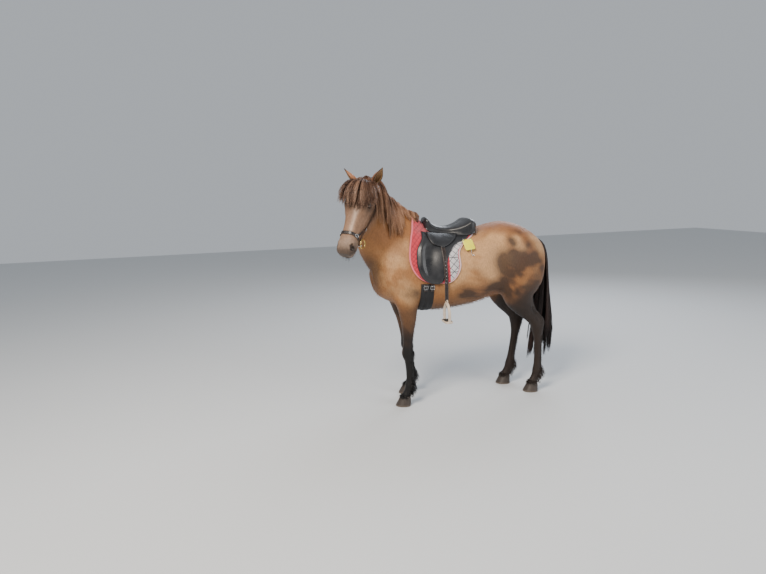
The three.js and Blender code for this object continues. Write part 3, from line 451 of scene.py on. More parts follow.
def head_field(p):
    q = face_place(p)
    q[:, 2] = np.abs(q[:, 2])
    rows = read(LAID["skull"], np.interp(q[:, 0], LAID["skull"][:, 0], READ_AT))
    f = oval(q[:, 1] - rows[:, 1], q[:, 2], rows[:, 2], rows[:, 3], rows[:, 4], 2.5, 1.75)
    f = np.maximum(f, np.maximum(q[:, 0] - SKULL[-1, 0], SKULL[0, 0] - q[:, 0]))
    f = melt(f, ball(q, (128, -98, 40), (92, 88, 38)), 16)
    f = melt(f, ball(q, (EYE["down"] - 8, EYE["out"] + 20, 78), (36, 17, 22)), 10)
    f = melt(f, ball(q, (518, -38, 44), (38, 32, 24)), 14)
    f = melt(f, ball(q, (528, -104, 0), (34, 22, 38)), 10)
    f = melt(f, ball(q, (496, -112, 0), (30, 20, 30)), 12)
    f = melt(f, ball(q, (-10, -72, 0), (56, 56, 50)), 40)  # back of the poll
    for form in HEAD_FORMS:
        f = f - ridge(q, *form)
    # lids stand round the eye, and the ball sits in an almond opening between them
    f = melt(f, ball(q, (EYE["down"], EYE["out"], EYE["side"]), (27, 23, 22.5)), 5)
    slit = np.maximum(ball(q, (EYE["down"], EYE["out"] + 1, EYE["side"] + 14), (19, 12, 30)), 92 - q[:, 2])
    f = -melt(-f, slit, 2.0)
    # nostril, a comma-shaped hollow, and the line of the mouth
    f = -melt(-f, ball(q, (524, -18, 60), (13, 12, 15)), 5)
    f = -melt(-f, ball(q, (508, -6, 54), (12, 7, 11)), 5)
    lips = q[:, 1] + 90 - 0.12 * (q[:, 0] - 528)
    reach = np.clip((q[:, 0] - 458) / 16, 0, 1)
    f = f + 9 * np.exp(-(lips / 3.2) ** 2) * reach
    return f


FAR = 200.0  # the field goes no higher than this, in millimetres


def flesh_field(p):
    """How far points lie out of the whole horse, in millimetres, ears and hooves apart."""
    p = np.asarray(p, float)
    x, y, z = p.T

    def part(inside, made):
        f = np.full(len(p), FAR)
        if inside.any():
            f[inside] = made(p[inside])
        return np.minimum(f, FAR)

    f = part((x > -900) & (x < 740) & (z > 600), trunk_field)
    f = melt(f, part((x > 150) & (z > 780), neck_field), 40)
    for leg in FOOT_FORWARD:
        side = y > -20 if leg.endswith("left") else y < 20
        reach = (x > 120) if leg.startswith("fore") else (x < -220)
        f = melt(f, part(side & reach & (z < 1300), lambda q, leg=leg: limb_field(q, leg)), 34)
    f = melt(f, part((x > 560) & (z > 1150), head_field), 22)
    return f


def slope(p, field=flesh_field, step=0.8):
    """The direction straight out of the flesh, with the field's own steepness."""
    corners = np.array([[1, -1, -1], [-1, -1, 1], [-1, 1, -1], [1, 1, 1]], float)
    return sum(k * field(p + k * step)[:, None] for k in corners) / (4 * step)


def onto(p, depth=0.0, turns=3):
    """Points moved straight on to the flesh's surface, or on to one that lies out of it by the depth."""
    p = np.array(p, float)
    for _ in range(turns):
        g = slope(p)
        f = flesh_field(p) - depth
        step = f / np.maximum((g * g).sum(1), 0.15)
        p = p - np.clip(step, -25, 25)[:, None] * g
    return p


def world(p):
    """Millimetres round the horse's barrel to metres in the model's frame."""
    return (np.asarray(p, float) + HORSE_SHIFT) / 1000


def mesh_of(name, points, faces):
    made = bpy.data.meshes.new(name)
    made.from_pydata([tuple(q) for q in np.asarray(points, float)], [], [tuple(q) for q in faces])
    made.update()
    return made


def co_of(mesh):
    co = np.zeros(len(mesh.vertices) * 3, np.float32)
    mesh.vertices.foreach_get("co", co)
    return co.reshape(-1, 3).astype(float)


SKIN_CELL = 10.5
ROUGH = 4  # cells a side of the rough blocks that are tried first
ROUGH_REACH = 75  # blocks this near to the skin are worked out cell by cell
low, high = np.array([-930.0, -420.0, 30.0]), np.array([1030.0, 500.0, 1830.0])
rough_counts = np.ceil((high - low) / (SKIN_CELL * ROUGH)).astype(int)


def lattice(start, counts, cell):
    axes = [start[k] + cell * np.arange(counts[k]) for k in range(3)]
    return np.stack(np.meshgrid(*axes, indexing="ij"), -1).reshape(-1, 3)


rough = flesh_field(lattice(low + SKIN_CELL * 1.5, rough_counts, SKIN_CELL * ROUGH)).reshape(rough_counts)
values = rough.repeat(ROUGH, 0).repeat(ROUGH, 1).repeat(ROUGH, 2).ravel()
close = np.abs(values) < ROUGH_REACH
fine_points = lattice(low, rough_counts * ROUGH, SKIN_CELL)
values[close] = flesh_field(fine_points[close])
values = (values + COAT_DEPTH).reshape(rough_counts * ROUGH)
grid = openvdb.FloatGrid(FAR)
grid.copyFromArray(values.astype(np.float32))
made_points, made_quads = grid.convertToQuads(isovalue=0.0)
made_points = np.asarray(made_points, float) * SKIN_CELL + low

body = bmesh.new()
body_mesh = mesh_of("skin", made_points, made_quads)
body.from_mesh(body_mesh)


def subdivide_where(test):
    """Splits each face whose corners all pass the test in four."""
    places = np.array([v.co for v in body.verts])
    inside = test(places)
    edges = [e for e in body.edges if inside[e.verts[0].index] and inside[e.verts[1].index]]
    bmesh.ops.subdivide_edges(body, edges=edges, cuts=1, use_grid_fill=True)
    body.verts.index_update()


def near_features(p):
    q = face_place(p)
    q[:, 2] = np.abs(q[:, 2])
    eye = np.linalg.norm(q - [EYE["down"], EYE["out"], EYE["side"]], axis=1) < 46
    return eye | ((q[:, 0] > 440) & (q[:, 1] > -170))


subdivide_where(lambda p: (face_place(p)[:, 0] > -10) & (face_place(p)[:, 1] > -215) & (p[:, 0] > 560)
                | (p[:, 2] < 470))
subdivide_where(near_features)
bmesh.ops.triangulate(body, faces=[f for f in body.faces if len(f.verts) > 4])
body.to_mesh(body_mesh)
body.free()

edge_ends = np.array([e.vertices[:] for e in body_mesh.edges])
skin_points = co_of(body_mesh)
for turn in range(4):
    total, number = np.zeros_like(skin_points), np.zeros(len(skin_points))
    for a, b in (edge_ends.T, edge_ends.T[::-1]):
        np.add.at(total, a, skin_points[b])
        np.add.at(number, a, 1)
    skin_points += 0.5 * (total / number[:, None] - skin_points)
    skin_points = onto(skin_points, -COAT_DEPTH, 1 if turn < 3 else 3)
body_mesh.vertices.foreach_set("co", world(skin_points).astype(np.float32).ravel())
body_mesh.update()
body_mesh.shade_smooth()
skin = put("skin", body_mesh)
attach(skin, "root")
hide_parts("torso", "neck", "head", "ear_left", "ear_right", "leg_fore_left", "leg_fore_right",
            "leg_hind_left", "leg_hind_right")


def patches(p):
    """Soft uneven patches between 0 and 1, the same on each run; the points come divided by a length."""
    total = np.zeros(len(p))
    for k, (reach, share) in enumerate([(0.30, 0.5), (0.13, 0.3), (0.06, 0.2)]):
        a, b, c = (p @ turn / reach for turn in np.random.default_rng(40 + k).normal(size=(3, 3)))
        total += share * np.sin(a + 1.7 * np.sin(b)) * np.cos(c + 1.3 * np.sin(a))
    return np.clip(0.5 + 0.6 * total, 0, 1)


def blot(p, start, end, radius):
    return ridge(p, start, end, radius, 1.0)


def mixed(a, b, share):
    return a + (b - a) * np.clip(share, 0, 1)[:, None]


PALE_AND_SUNLIT_MARKS = [  # from, to, radius, strength: where the coat is paler, by its own left side, partly its own paler hair and partly painted sunlight, as over the barrel
    ((500, 190, 1060), (430, 200, 930), 120, 0.9), ((330, 200, 1240), (300, 230, 1060), 110, 0.5),
    ((60, 280, 1120), (-230, 270, 1130), 170, 0.9), ((-299, 240, 1230), (-330, 240, 1120), 90, 1.0),
    ((-470, 215, 1235), (-500, 225, 1180), 46, 0.9), ((-646, 170, 1250), (-690, 150, 1130), 56, 0.9),
    ((-612, 210, 1000), (-632, 205, 950), 30, 0.9), ((-534, 230, 910), (-545, 225, 880), 30, 0.8),
]
# from, to, radius, strength: where the coat is darker, by its own left side, partly its sooty coat and partly
# painted dappled shade
SOOT_AND_SHADE_MARKS = [
    ((-385, 250, 1085), (-425, 250, 960), 76, 1.0), ((-430, 250, 1112), (-590, 220, 1085), 74, 1.0),
    ((-480, 245, 1040), (-520, 240, 960), 90, 1.0), ((-388, 240, 950), (-420, 235, 900), 60, 0.9),
    ((-560, 215, 850), (-650, 190, 860), 74, 1.0), ((-655, 185, 1060), (-690, 170, 930), 62, 0.9),
    ((-430, 240, 880), (-600, 200, 930), 105, 0.95), ((-560, 140, 820), (-640, 120, 840), 100, 0.8),
    ((-445, 195, 1350), (-470, 200, 1330), 26, 0.55), ((-495, 190, 1318), (-520, 190, 1300), 26, 0.5),
    ((-430, 230, 1245), (-440, 235, 1215), 38, 0.55), ((-566, 212, 1200), (-575, 212, 1165), 46, 0.65),
    ((-24, 262, 880), (-167, 240, 845), 54, 0.9), ((-167, 240, 850), (-340, 225, 880), 58, 0.9),
    ((330, 190, 900), (470, 150, 900), 60, 0.6), ((250, 220, 1000), (270, 235, 1150), 46, 0.6),
    ((360, 130, 760), (420, 120, 720), 50, 0.7),
]


def marked(marks, p, uneven):
    """How far points lie within any of the marks, with ragged edges."""
    total = np.zeros(len(p))
    for start, end, radius, strength in marks:
        total = np.maximum(total, strength * blot(p, start, end, radius * 1.15))
    return np.clip((total * (0.25 + 1.5 * uneven) - 0.08) / 0.8, 0, 1)


def paints(*codes):
    return [np.array(colour(code)) for code in codes]


def coat_colour(p):
    """The coat's markings at points in millimetres: golden brown, sooty above and behind, dark points; with
    painted shade in dappled patches, under the belly and throat, on the inner hind legs and round the
    nostrils, and painted light over the barrel and along the nose.
    """
    gold, pale, red, soot_and_shade, black = paints("#9c6c3e", "#c49a6c", "#7e4f30", "#38271c", "#0d0a09")
    ash, lip, nose_ridge_highlight, muzzle_tone, dusk = paints("#7a5f4c", "#a48c7c", "#cdb5a2", "#86705f", "#2b221e")
    p = np.asarray(p, float)
    flat = np.column_stack([p[:, 0], np.abs(p[:, 1]), p[:, 2]])
    uneven = patches(p / 1000)
    fine = 0.4 * uneven + 0.6 * patches(p / 420 + 1)
    fine = np.clip((fine - 0.5) * 2.4 + 0.5, 0, 1)
    made = mixed(gold, red, 0.8 * patches(p / 1400 + 3))
    back = np.clip((p[:, 2] - 1240) / 130, 0, 1) * (p[:, 0] < 250)
    made = mixed(made, red, 0.8 * back)
    # pale patches: partly the coat's own paler hair, partly painted sunlight
    made = mixed(made, pale, 0.7 * marked(PALE_AND_SUNLIT_MARKS, flat, fine))
    # dark patches: partly sooty coat, partly painted dappled shade
    made = mixed(made, soot_and_shade, 0.88 * marked(SOOT_AND_SHADE_MARKS, flat, fine))
    # darker under the belly: partly its sooty coat, partly painted shade
    under = np.clip((850 - p[:, 2]) / 110, 0, 1) * (np.abs(p[:, 1]) < 270)
    made = mixed(made, soot_and_shade, 0.7 * under)
    # painted shade under the jaw, on the throat behind the bridle
    throat = np.clip((p[:, 0] - 560) / 80, 0, 1) * np.clip((1230 - p[:, 2]) / 120, 0, 1)
    made = mixed(made, soot_and_shade, 0.65 * throat)
    hind = np.clip((-400 - p[:, 0]) / 60, 0, 1)
    fore_dark = np.clip((620 - p[:, 2] + 110 * fine) / 260, 0, 1) * (1 - hind)
    # painted shade: on the legs' inner faces, nearer the midline than 130 mm, the hind legs' dark starts 60
    # mm higher
    far = 60 * (np.abs(p[:, 1]) < 130)
    hind_dark = np.clip((900 + far - p[:, 2] + 130 * fine) / 300, 0, 1) * hind
    made = mixed(made, soot_and_shade, np.clip(1.3 * fore_dark + 1.4 * hind_dark, 0, 1))
    made = mixed(made, black, np.clip(1.3 * fore_dark - 0.3 + 1.25 * hind_dark - 0.35 * (hind > 0), 0, 1))
    stripe = blot(flat, (452, 120, 470), (462, 120, 300), 26) * (fine > 0.4)
    made = mixed(made, red, 0.55 * stripe)
    rows = read(LAID["neck"], np.linspace(0.1, 1, 12))
    crest = rows[:, :3] + neck_frame(rows)[0] * rows[:, 3:4]
    under_mane = np.max([blot(p, a, b, 30) for a, b in zip(crest[:-1], crest[1:])], axis=0)
    made = mixed(made, soot_and_shade, np.clip(1.6 * under_mane, 0, 1))
    q = face_place(p)
    on_head = (p[:, 0] > 560) & (p[:, 2] > 1150) & (q[:, 0] > -60)
    head = np.clip((q[:, 0] + 20) / 120, 0, 1) * on_head * np.clip((q[:, 1] + 230) / 60, 0, 1)
    made = mixed(made, ash, head * (0.75 + 0.2 * uneven))
    made = mixed(made, soot_and_shade, 1.3 * on_head * blot(q, (-50, 40, 0), (40, 66, 0), 46))
    made = mixed(made, soot_and_shade, 1.2 * blot(p, crest[-1], from_face((-10, 52, 0)), 40))
    left_of = q[:, 2].copy()
    q[:, 2] = np.abs(q[:, 2])
    made = mixed(made, soot_and_shade, 0.8 * on_head * blot(q, (120, 40, 0), (215, 50, 20), 70) * (0.6 + 0.5 * fine))
    made = mixed(made, soot_and_shade, 0.6 * on_head * blot(q, (150, -100, 90), (60, -120, 80), 60))
    made = mixed(made, black, 0.75 * on_head * blot(q, (186, 4, 88), (196, 2, 90), 40))
    q[:, 2] = left_of
    # painted highlight: a pale line along the lit left edge of the nose
    made = mixed(made, nose_ridge_highlight, 0.8 * on_head * blot(q, (262, 54, 26), (398, 34, 22), 17))
    q[:, 2] = np.abs(left_of)
    made = mixed(made, muzzle_tone, 0.85 * on_head * np.clip((q[:, 0] - 428) / 60, 0, 1))
    # painted shade round and below the nostrils
    nostril = blot(q, (548, -40, 40), (540, -66, 50), 52) * (0.6 + 0.6 * fine)
    made = mixed(made, dusk, 0.9 * on_head * nostril)
    chin = np.clip((q[:, 0] - 490) / 40, 0, 1) * np.clip((-62 - q[:, 1]) / 26, 0, 1) * on_head
    made = mixed(made, dusk, 0.85 * chin)
    made = mixed(made, dusk, 0.8 * on_head * blot(q, (548, -20, 0), (556, -50, 0), 26))
    mouth = [(478, -97, 56), (515, -93, 53), (545, -88, 38), (556, -86, 14), (558, -86, 0)]
    for a, b in zip(mouth[:-1], mouth[1:]):
        made = mixed(made, black, 0.9 * on_head * blot(q, a, b, 6))
    made = mixed(made, lip, 0.75 * on_head * blot(q, (538, -58, 44), (552, -70, 40), 17))
    made = mixed(made, black, 0.95 * on_head * blot(q, (526, -32, 60), (512, -22, 60), 19))
    return made


def tint(mesh, colours):
    """Keeps a colour at each corner point of a mesh, for its material."""
    layer = mesh.color_attributes.new("Tint", "FLOAT_COLOR", "POINT")
    full = np.column_stack([colours, np.ones(len(colours))])
    layer.data.foreach_set("color", full.astype(np.float32).ravel())


# Short summer coat, close and glossy: hair 12 mm long lies down and back, so it shows as a fine grain
# across the light, with the skin's own colour under it.
coat_finish, tree = new_material("Short_coat")
place = object_place(tree)
lie = node(tree, "ShaderNodeMapping", _0=place, _3=(90.0, 90.0, 34.0)).outputs[0]
hairs = node(tree, "ShaderNodeTexNoise", Vector=lie, Scale=1.6, Detail=5.0, Roughness=0.6).outputs[0]
shade = maths(tree, "MULTIPLY", span(tree, hairs, 0.76, 1.18),
              span(tree, noise(tree, place, 9.0, 4.0), 0.88, 1.1))
surface(tree, (hairs, 0.5, 0.004), Base_Color=scaled(tree, own_values(tree, "Tint")["Color"], shade),
        Roughness=0.55, Specular_IOR_Level=0.3, Sheen_Weight=0.05, Sheen_Roughness=0.5)
body_mesh.materials.append(coat_finish)
tint(body_mesh, coat_colour(skin_points))

# Long hair: mane, forelock and tail, coarse straight hair 0.15 mm thick. Each strand here stands for
# a small bunch of them. They root in the skin, rise, fall under their own weight and lie on the body.
hair_finish, tree = new_material("Horsehair")
grain = noise(tree, object_place(tree), 160.0, 3.0)
hair_tone = scaled(tree, own_values(tree, "Tint")["Color"], span(tree, grain, 0.75, 1.25))
surface(tree, (grain, 0.3, 0.001), Base_Color=hair_tone, Roughness=0.42, Specular_IOR_Level=0.4)


def fall(roots, headings, lengths, steps, lift, weight):
    """Paths of hairs that leave their roots along a heading, bend down and lie on the flesh."""
    p, v = roots.copy(), unit(headings)
    paths = [p.copy()]
    stride = (lengths / steps)[:, None]
    for _ in range(steps):
        v = unit(v + weight[:, None] * stride * [0, 0, -1])
        before = p
        p = p + v * stride
        f = flesh_field(p)
        low = f < lift
        if low.any():
            g = slope(p[low])
            p[low] += g * ((lift[low] - f[low]) / np.maximum((g * g).sum(1), 0.3))[:, None]
            moved = p[low] - before[low]
            v[low] = moved / np.maximum(np.linalg.norm(moved, axis=1)[:, None], 1e-6)
            p[low] = before[low] + v[low] * stride[low]
        paths.append(p.copy())
    return np.stack(paths, 1)


def gathered(paths, lock, grip):
    """Draws the hairs of each lock together towards its tip."""
    count = lock.max() + 1
    total = np.zeros((count,) + paths.shape[1:])
    np.add.at(total, lock, paths)
    middle = total / np.bincount(lock, minlength=count)[:, None, None]
    share = grip * np.linspace(0, 1, paths.shape[1]) ** 0.8
    return paths + (middle[lock] - paths) * share[None, :, None]


def waved(paths, draw, size, across):
    """A slow wave along each hair, in step within a lock only by chance."""
    t = np.linspace(0, 1, paths.shape[1])
    phase, turns = draw.uniform(0, 6.28, (2, len(paths), 1)), draw.uniform(1.0, 2.6, (len(paths), 1))
    bend = size * t**1.2 * np.sin(phase[0] + turns * 6.28 * t) * draw.uniform(0.4, 1.0, (len(paths), 1))
    lean = size * 0.7 * t * np.sin(phase[1] + turns * 4.1 * t)
    return paths + bend[:, :, None] * across[:, None, :] + lean[:, :, None] * np.array([0, 0, 0.3])


def unwrapped(p):
    """Where a root lies on the skin laid flat: trunk and neck, head, and one strip for each leg."""
    q = face_place(p)
    on_head = (q[:, 0] > -40) & (p[:, 0] > 560) & (q[:, 1] > -215)
    turn_body = np.arctan2(p[:, 1], p[:, 2] - 1000) / (2 * np.pi) + 0.5
    turn_head = np.arctan2(q[:, 2], q[:, 1] + 50) / (2 * np.pi) + 0.5
    u = np.where(on_head, 0.78 + 0.2 * (q[:, 0] + 40) / 640, 0.01 + 0.52 * (p[:, 0] + 860) / 1600)
    v = np.where(on_head, turn_head, turn_body)
    on_leg = p[:, 2] < 760
    strip = 0.55 + 0.055 * ((p[:, 0] < 0) * 2 + (p[:, 1] < 0))
    around = np.arctan2(p[:, 1] - 140 * np.sign(p[:, 1]), p[:, 0] - np.where(p[:, 0] > 0, 380, -690))
    u = np.where(on_leg, strip + 0.05 * (around / (2 * np.pi) + 0.5), u)
    v = np.where(on_leg, p[:, 2] / 800, v)
    return np.clip(np.column_stack([u, v]), 0.002, 0.995)


def on_model(name, mesh, finish, node_names):
    """Puts a mesh on the model, as one piece that stands for the named nodes."""
    mesh.materials.append(finish)
    piece = put(name, mesh)
    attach(piece, "root")
    if node_names:
        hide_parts(*node_names)
    return piece


def hair_piece(name, paths, widths, facings, root_colour, tip_colour, node_names=(), slot="coat"):
    """One mesh of flat three-sided hairs, closed at both ends, each with its patch of the laid-out skin."""
    number, rings = paths.shape[:2]
    run = np.gradient(paths, axis=1)
    run /= np.maximum(np.linalg.norm(run, axis=2)[:, :, None], 1e-6)
    flat = np.cross(run, facings[:, None, :] if facings.ndim == 2 else facings)
    flat /= np.maximum(np.linalg.norm(flat, axis=2)[:, :, None], 1e-6)
    out = np.cross(flat, run)
    t = np.linspace(0, 1, rings)
    taper = (0.55 + 1.1 * t - 1.45 * t**2.4)[None, :, None] * widths[:, None, None] / 2
    corners = np.stack([paths + flat * taper, paths - flat * taper, paths + out * taper * 0.55], 2)
    points = world(corners.reshape(-1, 3))
    base = (np.arange(number) * rings * 3)[:, None, None]
    ring_at = (np.arange(rings - 1) * 3)[None, :, None]
    k = np.arange(3)
    a, b = base + ring_at + k, base + ring_at + (k + 1) % 3
    quads = np.stack([a, b, b + 3, a + 3], -1).reshape(-1, 4)
    end = (rings - 1) * 3
    caps = np.concatenate([base[:, 0] + [[2, 1, 0]], base[:, 0] + end + [[0, 1, 2]]])
    made = bpy.data.meshes.new(name)
    made.vertices.add(len(points))
    made.vertices.foreach_set("co", points.astype(np.float32).ravel())
    corner_list = np.concatenate([quads.ravel(), caps.ravel()])
    starts = np.concatenate([np.arange(len(quads)) * 4, len(quads) * 4 + np.arange(len(caps)) * 3])
    made.loops.add(len(corner_list))
    made.loops.foreach_set("vertex_index", corner_list.astype(np.int32))
    made.polygons.add(len(starts))
    made.polygons.foreach_set("loop_start", starts.astype(np.int32))
    made.update(calc_edges=True)
    made.validate()
    made.shade_smooth()
    share = np.broadcast_to(t[None, :, None, None] ** 1.3, (number, rings, 3, 1))
    shades = root_colour[:, None, None, :] * (1 - share) + tip_colour[:, None, None, :] * share
    # painted highlight: the outer ridge of every hair is made 12% lighter
    shades = shades * np.array([1.0, 1.0, 1.12])[None, None, :, None]
    tint(made, shades.reshape(-1, 3))
    root_uv = unwrapped(paths[:, 0])
    spread = np.stack(np.broadcast_arrays(t[None, :, None] * 0.003, (k * 0.0015)[None, None, :]), -1)
    uv = (root_uv[:, None, None, :] + spread).reshape(-1, 2)
    layer = made.uv_layers.new(name="OFBake")
    order = np.zeros(len(made.loops), np.int32)
    made.loops.foreach_get("vertex_index", order)
    layer.data.foreach_set("uv", uv[order].astype(np.float32).ravel())
    return on_model(name, made, hair_finish, node_names)


# Mane: it parts along the crest and falls to both sides, longest behind the ears, where it covers
# the side of the neck, and shortest at the withers, where it ends in a dark tuft before the saddle.
MANE_FALL = np.array([  # share of the way up the neck, length on the left and on the right
    [0.0, 60, 60], [0.12, 80, 110], [0.23, 90, 170], [0.34, 110, 230], [0.46, 140, 280],
    [0.56, 225, 300], [0.68, 320, 320], [0.85, 365, 330], [1.0, 370, 310], [1.14, 330, 290],
], float)
MANE_ENDS = (0.20, 1.14)
MANE_LOCKS = 84


def mane_hairs(sign, number, seed):
    draw = np.random.default_rng(seed)
    lock = draw.integers(0, MANE_LOCKS, number)
    lock_t = np.sort(draw.uniform(*MANE_ENDS, MANE_LOCKS))
    t = np.clip(lock_t[lock] + draw.normal(0, 0.014, number), *MANE_ENDS)
    rows = read(LAID["neck"], np.minimum(t, 1))
    crest, left = neck_frame(rows)
    w = sign * (np.abs(draw.normal(0, 11, number)) - 4)
    starts = rows[:, :3] + crest * (rows[:, 3] - 4)[:, None]
    starts = mixed(starts, from_face((8, 60, 0)), (t - 1) / 0.14) + left * w[:, None]
    roots = onto(starts, -8, 3)
    lean = draw.uniform(0.55, 1.25, MANE_LOCKS)[lock] + draw.normal(0, 0.1, number)
    fore = draw.normal(0.05, 0.16, MANE_LOCKS)[lock] + draw.normal(0, 0.05, number)
    fore += 0.9 * np.clip((0.3 - t) / 0.15, 0, 1)
    headings = 0.55 * crest + left * (sign * lean)[:, None] + rows[:, -4:-1] * fore[:, None]
    lengths = np.interp(t, MANE_FALL[:, 0], MANE_FALL[:, 1 if sign > 0 else 2])
    lengths = (lengths + 40) * draw.uniform(0.80, 1.08, MANE_LOCKS)[lock] * draw.uniform(0.84, 1.04, number)
    lift = draw.uniform(1, 20, MANE_LOCKS)[lock] * np.clip(t * 1.6, 0.3, 1) + draw.uniform(0, 6, number)
    paths = fall(roots, headings, lengths, 12, lift, draw.uniform(0.02, 0.034, MANE_LOCKS)[lock])
    paths = waved(gathered(paths, lock, 0.6), draw, 4.5, rows[:, -4:-1])
    facing = left * sign + 0.3 * crest + draw.normal(0, 0.25, (number, 3))
    dark, warm, sun = paints("#33221a", "#714c36", "#b08565")
    at_withers = np.clip((0.26 - t) / 0.12, 0, 1)
    bleach = draw.normal(0.55, 0.25, MANE_LOCKS)[lock] + draw.normal(0, 0.18, number) + lift / 90
    bleach = np.clip(bleach - 0.8 * at_withers, 0, 1)
    root = mixed(dark, warm, bleach * 1.1)
    tip = mixed(mixed(warm, sun, bleach * 1.1), dark, 0.9 * at_withers)
    return paths, draw.uniform(3.0, 5.0, number), facing, root, tip


MANE_HAIRS = 2500  # on each side
for side, sign, seed in (("left", 1, 5), ("right", -1, 6)):
    hair_piece("mane_" + side, *mane_hairs(sign, MANE_HAIRS, seed))

# Forelock: from between the ears it falls thick over the forehead to the eyes, and at the sides over
# the ears' roots into the mane. It is reddish brown, with pale streaks where light took the colour.
FORELOCK_LOCKS = 110
draw = np.random.default_rng(9)
number = 2700
lock = draw.integers(0, FORELOCK_LOCKS, number)
share = draw.uniform(-1.12, 1.12, FORELOCK_LOCKS)[lock] + draw.normal(0, 0.06, number)
root_places = np.column_stack([draw.uniform(-16, 34, number), np.full(number, 45), share * 46])
roots = onto(from_face(root_places), -8, 3)
headings = (DOWN_FACE * draw.uniform(0.5, 0.9, FORELOCK_LOCKS)[lock][:, None]
            + FACE_OUT * draw.uniform(0.12, 0.42, FORELOCK_LOCKS)[lock][:, None]
            + FACE_LEFT * (share * 0.68)[:, None])
lengths = 286 * (1 - 0.16 * np.abs(share)) * draw.uniform(0.84, 1.07, FORELOCK_LOCKS)[lock]
lengths = lengths * draw.uniform(0.70, 1.04, number)
lift = draw.uniform(3, 22, FORELOCK_LOCKS)[lock] + draw.uniform(0, 6, number)
paths = fall(roots, headings, lengths, 11, lift, draw.uniform(0.009, 0.016, FORELOCK_LOCKS)[lock])
paths = waved(gathered(paths, lock, 0.58), draw, 5.0, np.tile(FACE_LEFT, (number, 1)))
facing = FACE_OUT + FACE_LEFT * (share * 0.8)[:, None] + draw.normal(0, 0.25, (number, 3))
dark, mid, streak = paints("#2c1f19", "#664736", "#a28069")
bleach = np.clip(draw.normal(0.32, 0.34, FORELOCK_LOCKS)[lock] + draw.normal(0, 0.2, number), 0, 1)
hair_piece("forelock", paths, draw.uniform(1.9, 3.3, number), facing, mixed(dark, mid, bleach * 1.2),
           mixed(mid * 0.8, streak, bleach * 1.2 - 0.15))

# Tail: the dock is a hand's length of bone and flesh, and hair grows all round it and hangs past
# the hocks, parting over the leg. It is nearly black, with brown in the outer hairs.
TAIL = np.array([  # z, x of the middle, half spread along and across
    [1232, -752, 24, 26], [1186, -786, 32, 36], [1080, -806, 34, 56], [940, -806, 42, 70],
    [800, -804, 58, 76], [660, -800, 80, 76], [520, -794, 102, 70], [380, -784, 116, 64],
    [200, -768, 120, 58],
], float)
TAIL_LOCKS = 70


def tail_hairs(number, seed):
    draw = np.random.default_rng(seed)
    lock = draw.integers(0, TAIL_LOCKS, number)
    angle = draw.uniform(0, 6.283, TAIL_LOCKS)[lock] + draw.normal(0, 0.10, number)
    layer = np.sqrt(draw.uniform(0.06, 1.0, TAIL_LOCKS))[lock] * draw.uniform(0.92, 1.05, number)
    start = draw.uniform(0.0, 0.30, TAIL_LOCKS)[lock] * draw.uniform(0.7, 1.2, number)
    stop = draw.uniform(0.84, 1.0, TAIL_LOCKS)[lock] * draw.uniform(0.93, 1.0, number)
    outwards = np.column_stack([np.cos(angle), np.sin(angle), 0 * angle])
    across = np.column_stack([-np.sin(angle), np.cos(angle), 0 * angle])
    steps = 15
    paths = []
    for k in range(steps + 1):
        f = k / steps
        rows = between(TAIL, start + (stop - start) * f)
        out = layer * (0.5 + 0.5 * min(1, f * 6))
        paths.append(np.column_stack([rows[:, 1] + np.cos(angle) * rows[:, 2] * out,
                                      np.sin(angle) * rows[:, 3] * out, rows[:, 0]]))
    paths = waved(gathered(np.stack(paths, 1), lock, 0.5), draw, 9.0, across)
    f = flesh_field(paths.reshape(-1, 3)).reshape(paths.shape[:2])
    paths[:, :, 0] -= np.clip(6 - f, 0, 40)
    facing = outwards + draw.normal(0, 0.3, (number, 3))
    dark, brown = paints("#17110f", "#45302a")
    bleach = np.clip(draw.normal(0.25, 0.2, TAIL_LOCKS)[lock] + draw.normal(0, 0.15, number), 0, 1) * layer
    shade = mixed(dark, brown, bleach)
    return paths, draw.uniform(3.6, 5.6, number), facing, shade, shade * 1.15


hair_piece("tail_hair", *tail_hairs(2100, 12), node_names=["tail"], slot="tail_hair")

# Ears: cups of skin and gristle on the back of the skull, open to the front and side, with short
# coat outside, a dark rim and tip, and longer pale hair inside.
EAR_ROWS = np.array([[22, 21], [31, 24], [36, 23], [30, 18], [16, 10], [3, 3]], float)
EAR_LENGTH, EAR_THICK = 138.0, 4.5


def joined_up(name, points, faces, finish, slot, node_names=(), colours=None):
    """A closed piece in the horse's millimetres, with its faces turned outwards, put on the model."""
    made = mesh_of(name, world(points), faces)
    work = bmesh.new()
    work.from_mesh(made)
    bmesh.ops.recalc_face_normals(work, faces=work.faces)
    work.to_mesh(made)
    work.free()
    made.shade_smooth()
    if colours is not None:
        tint(made, colours)
    return on_model(name, made, finish, node_names)


def lofted(rings, closed=False):
    """Rings of points one after another with faces between, shut at both ends or joined in a loop."""
    number, count = len(rings), len(rings[0])
    k = np.arange(count)
    faces = [(a, b, b + count, a + count) for i in range(number - 1)
             for a, b in zip(i * count + k, i * count + (k + 1) % count)]
    last = (number - 1) * count
    if closed:
        faces += [(last + a, last + b, b, a) for a, b in zip(k, (k + 1) % count)]
    else:
        faces += [tuple(k[::-1]), tuple(last + k)]
    return np.concatenate(rings), faces


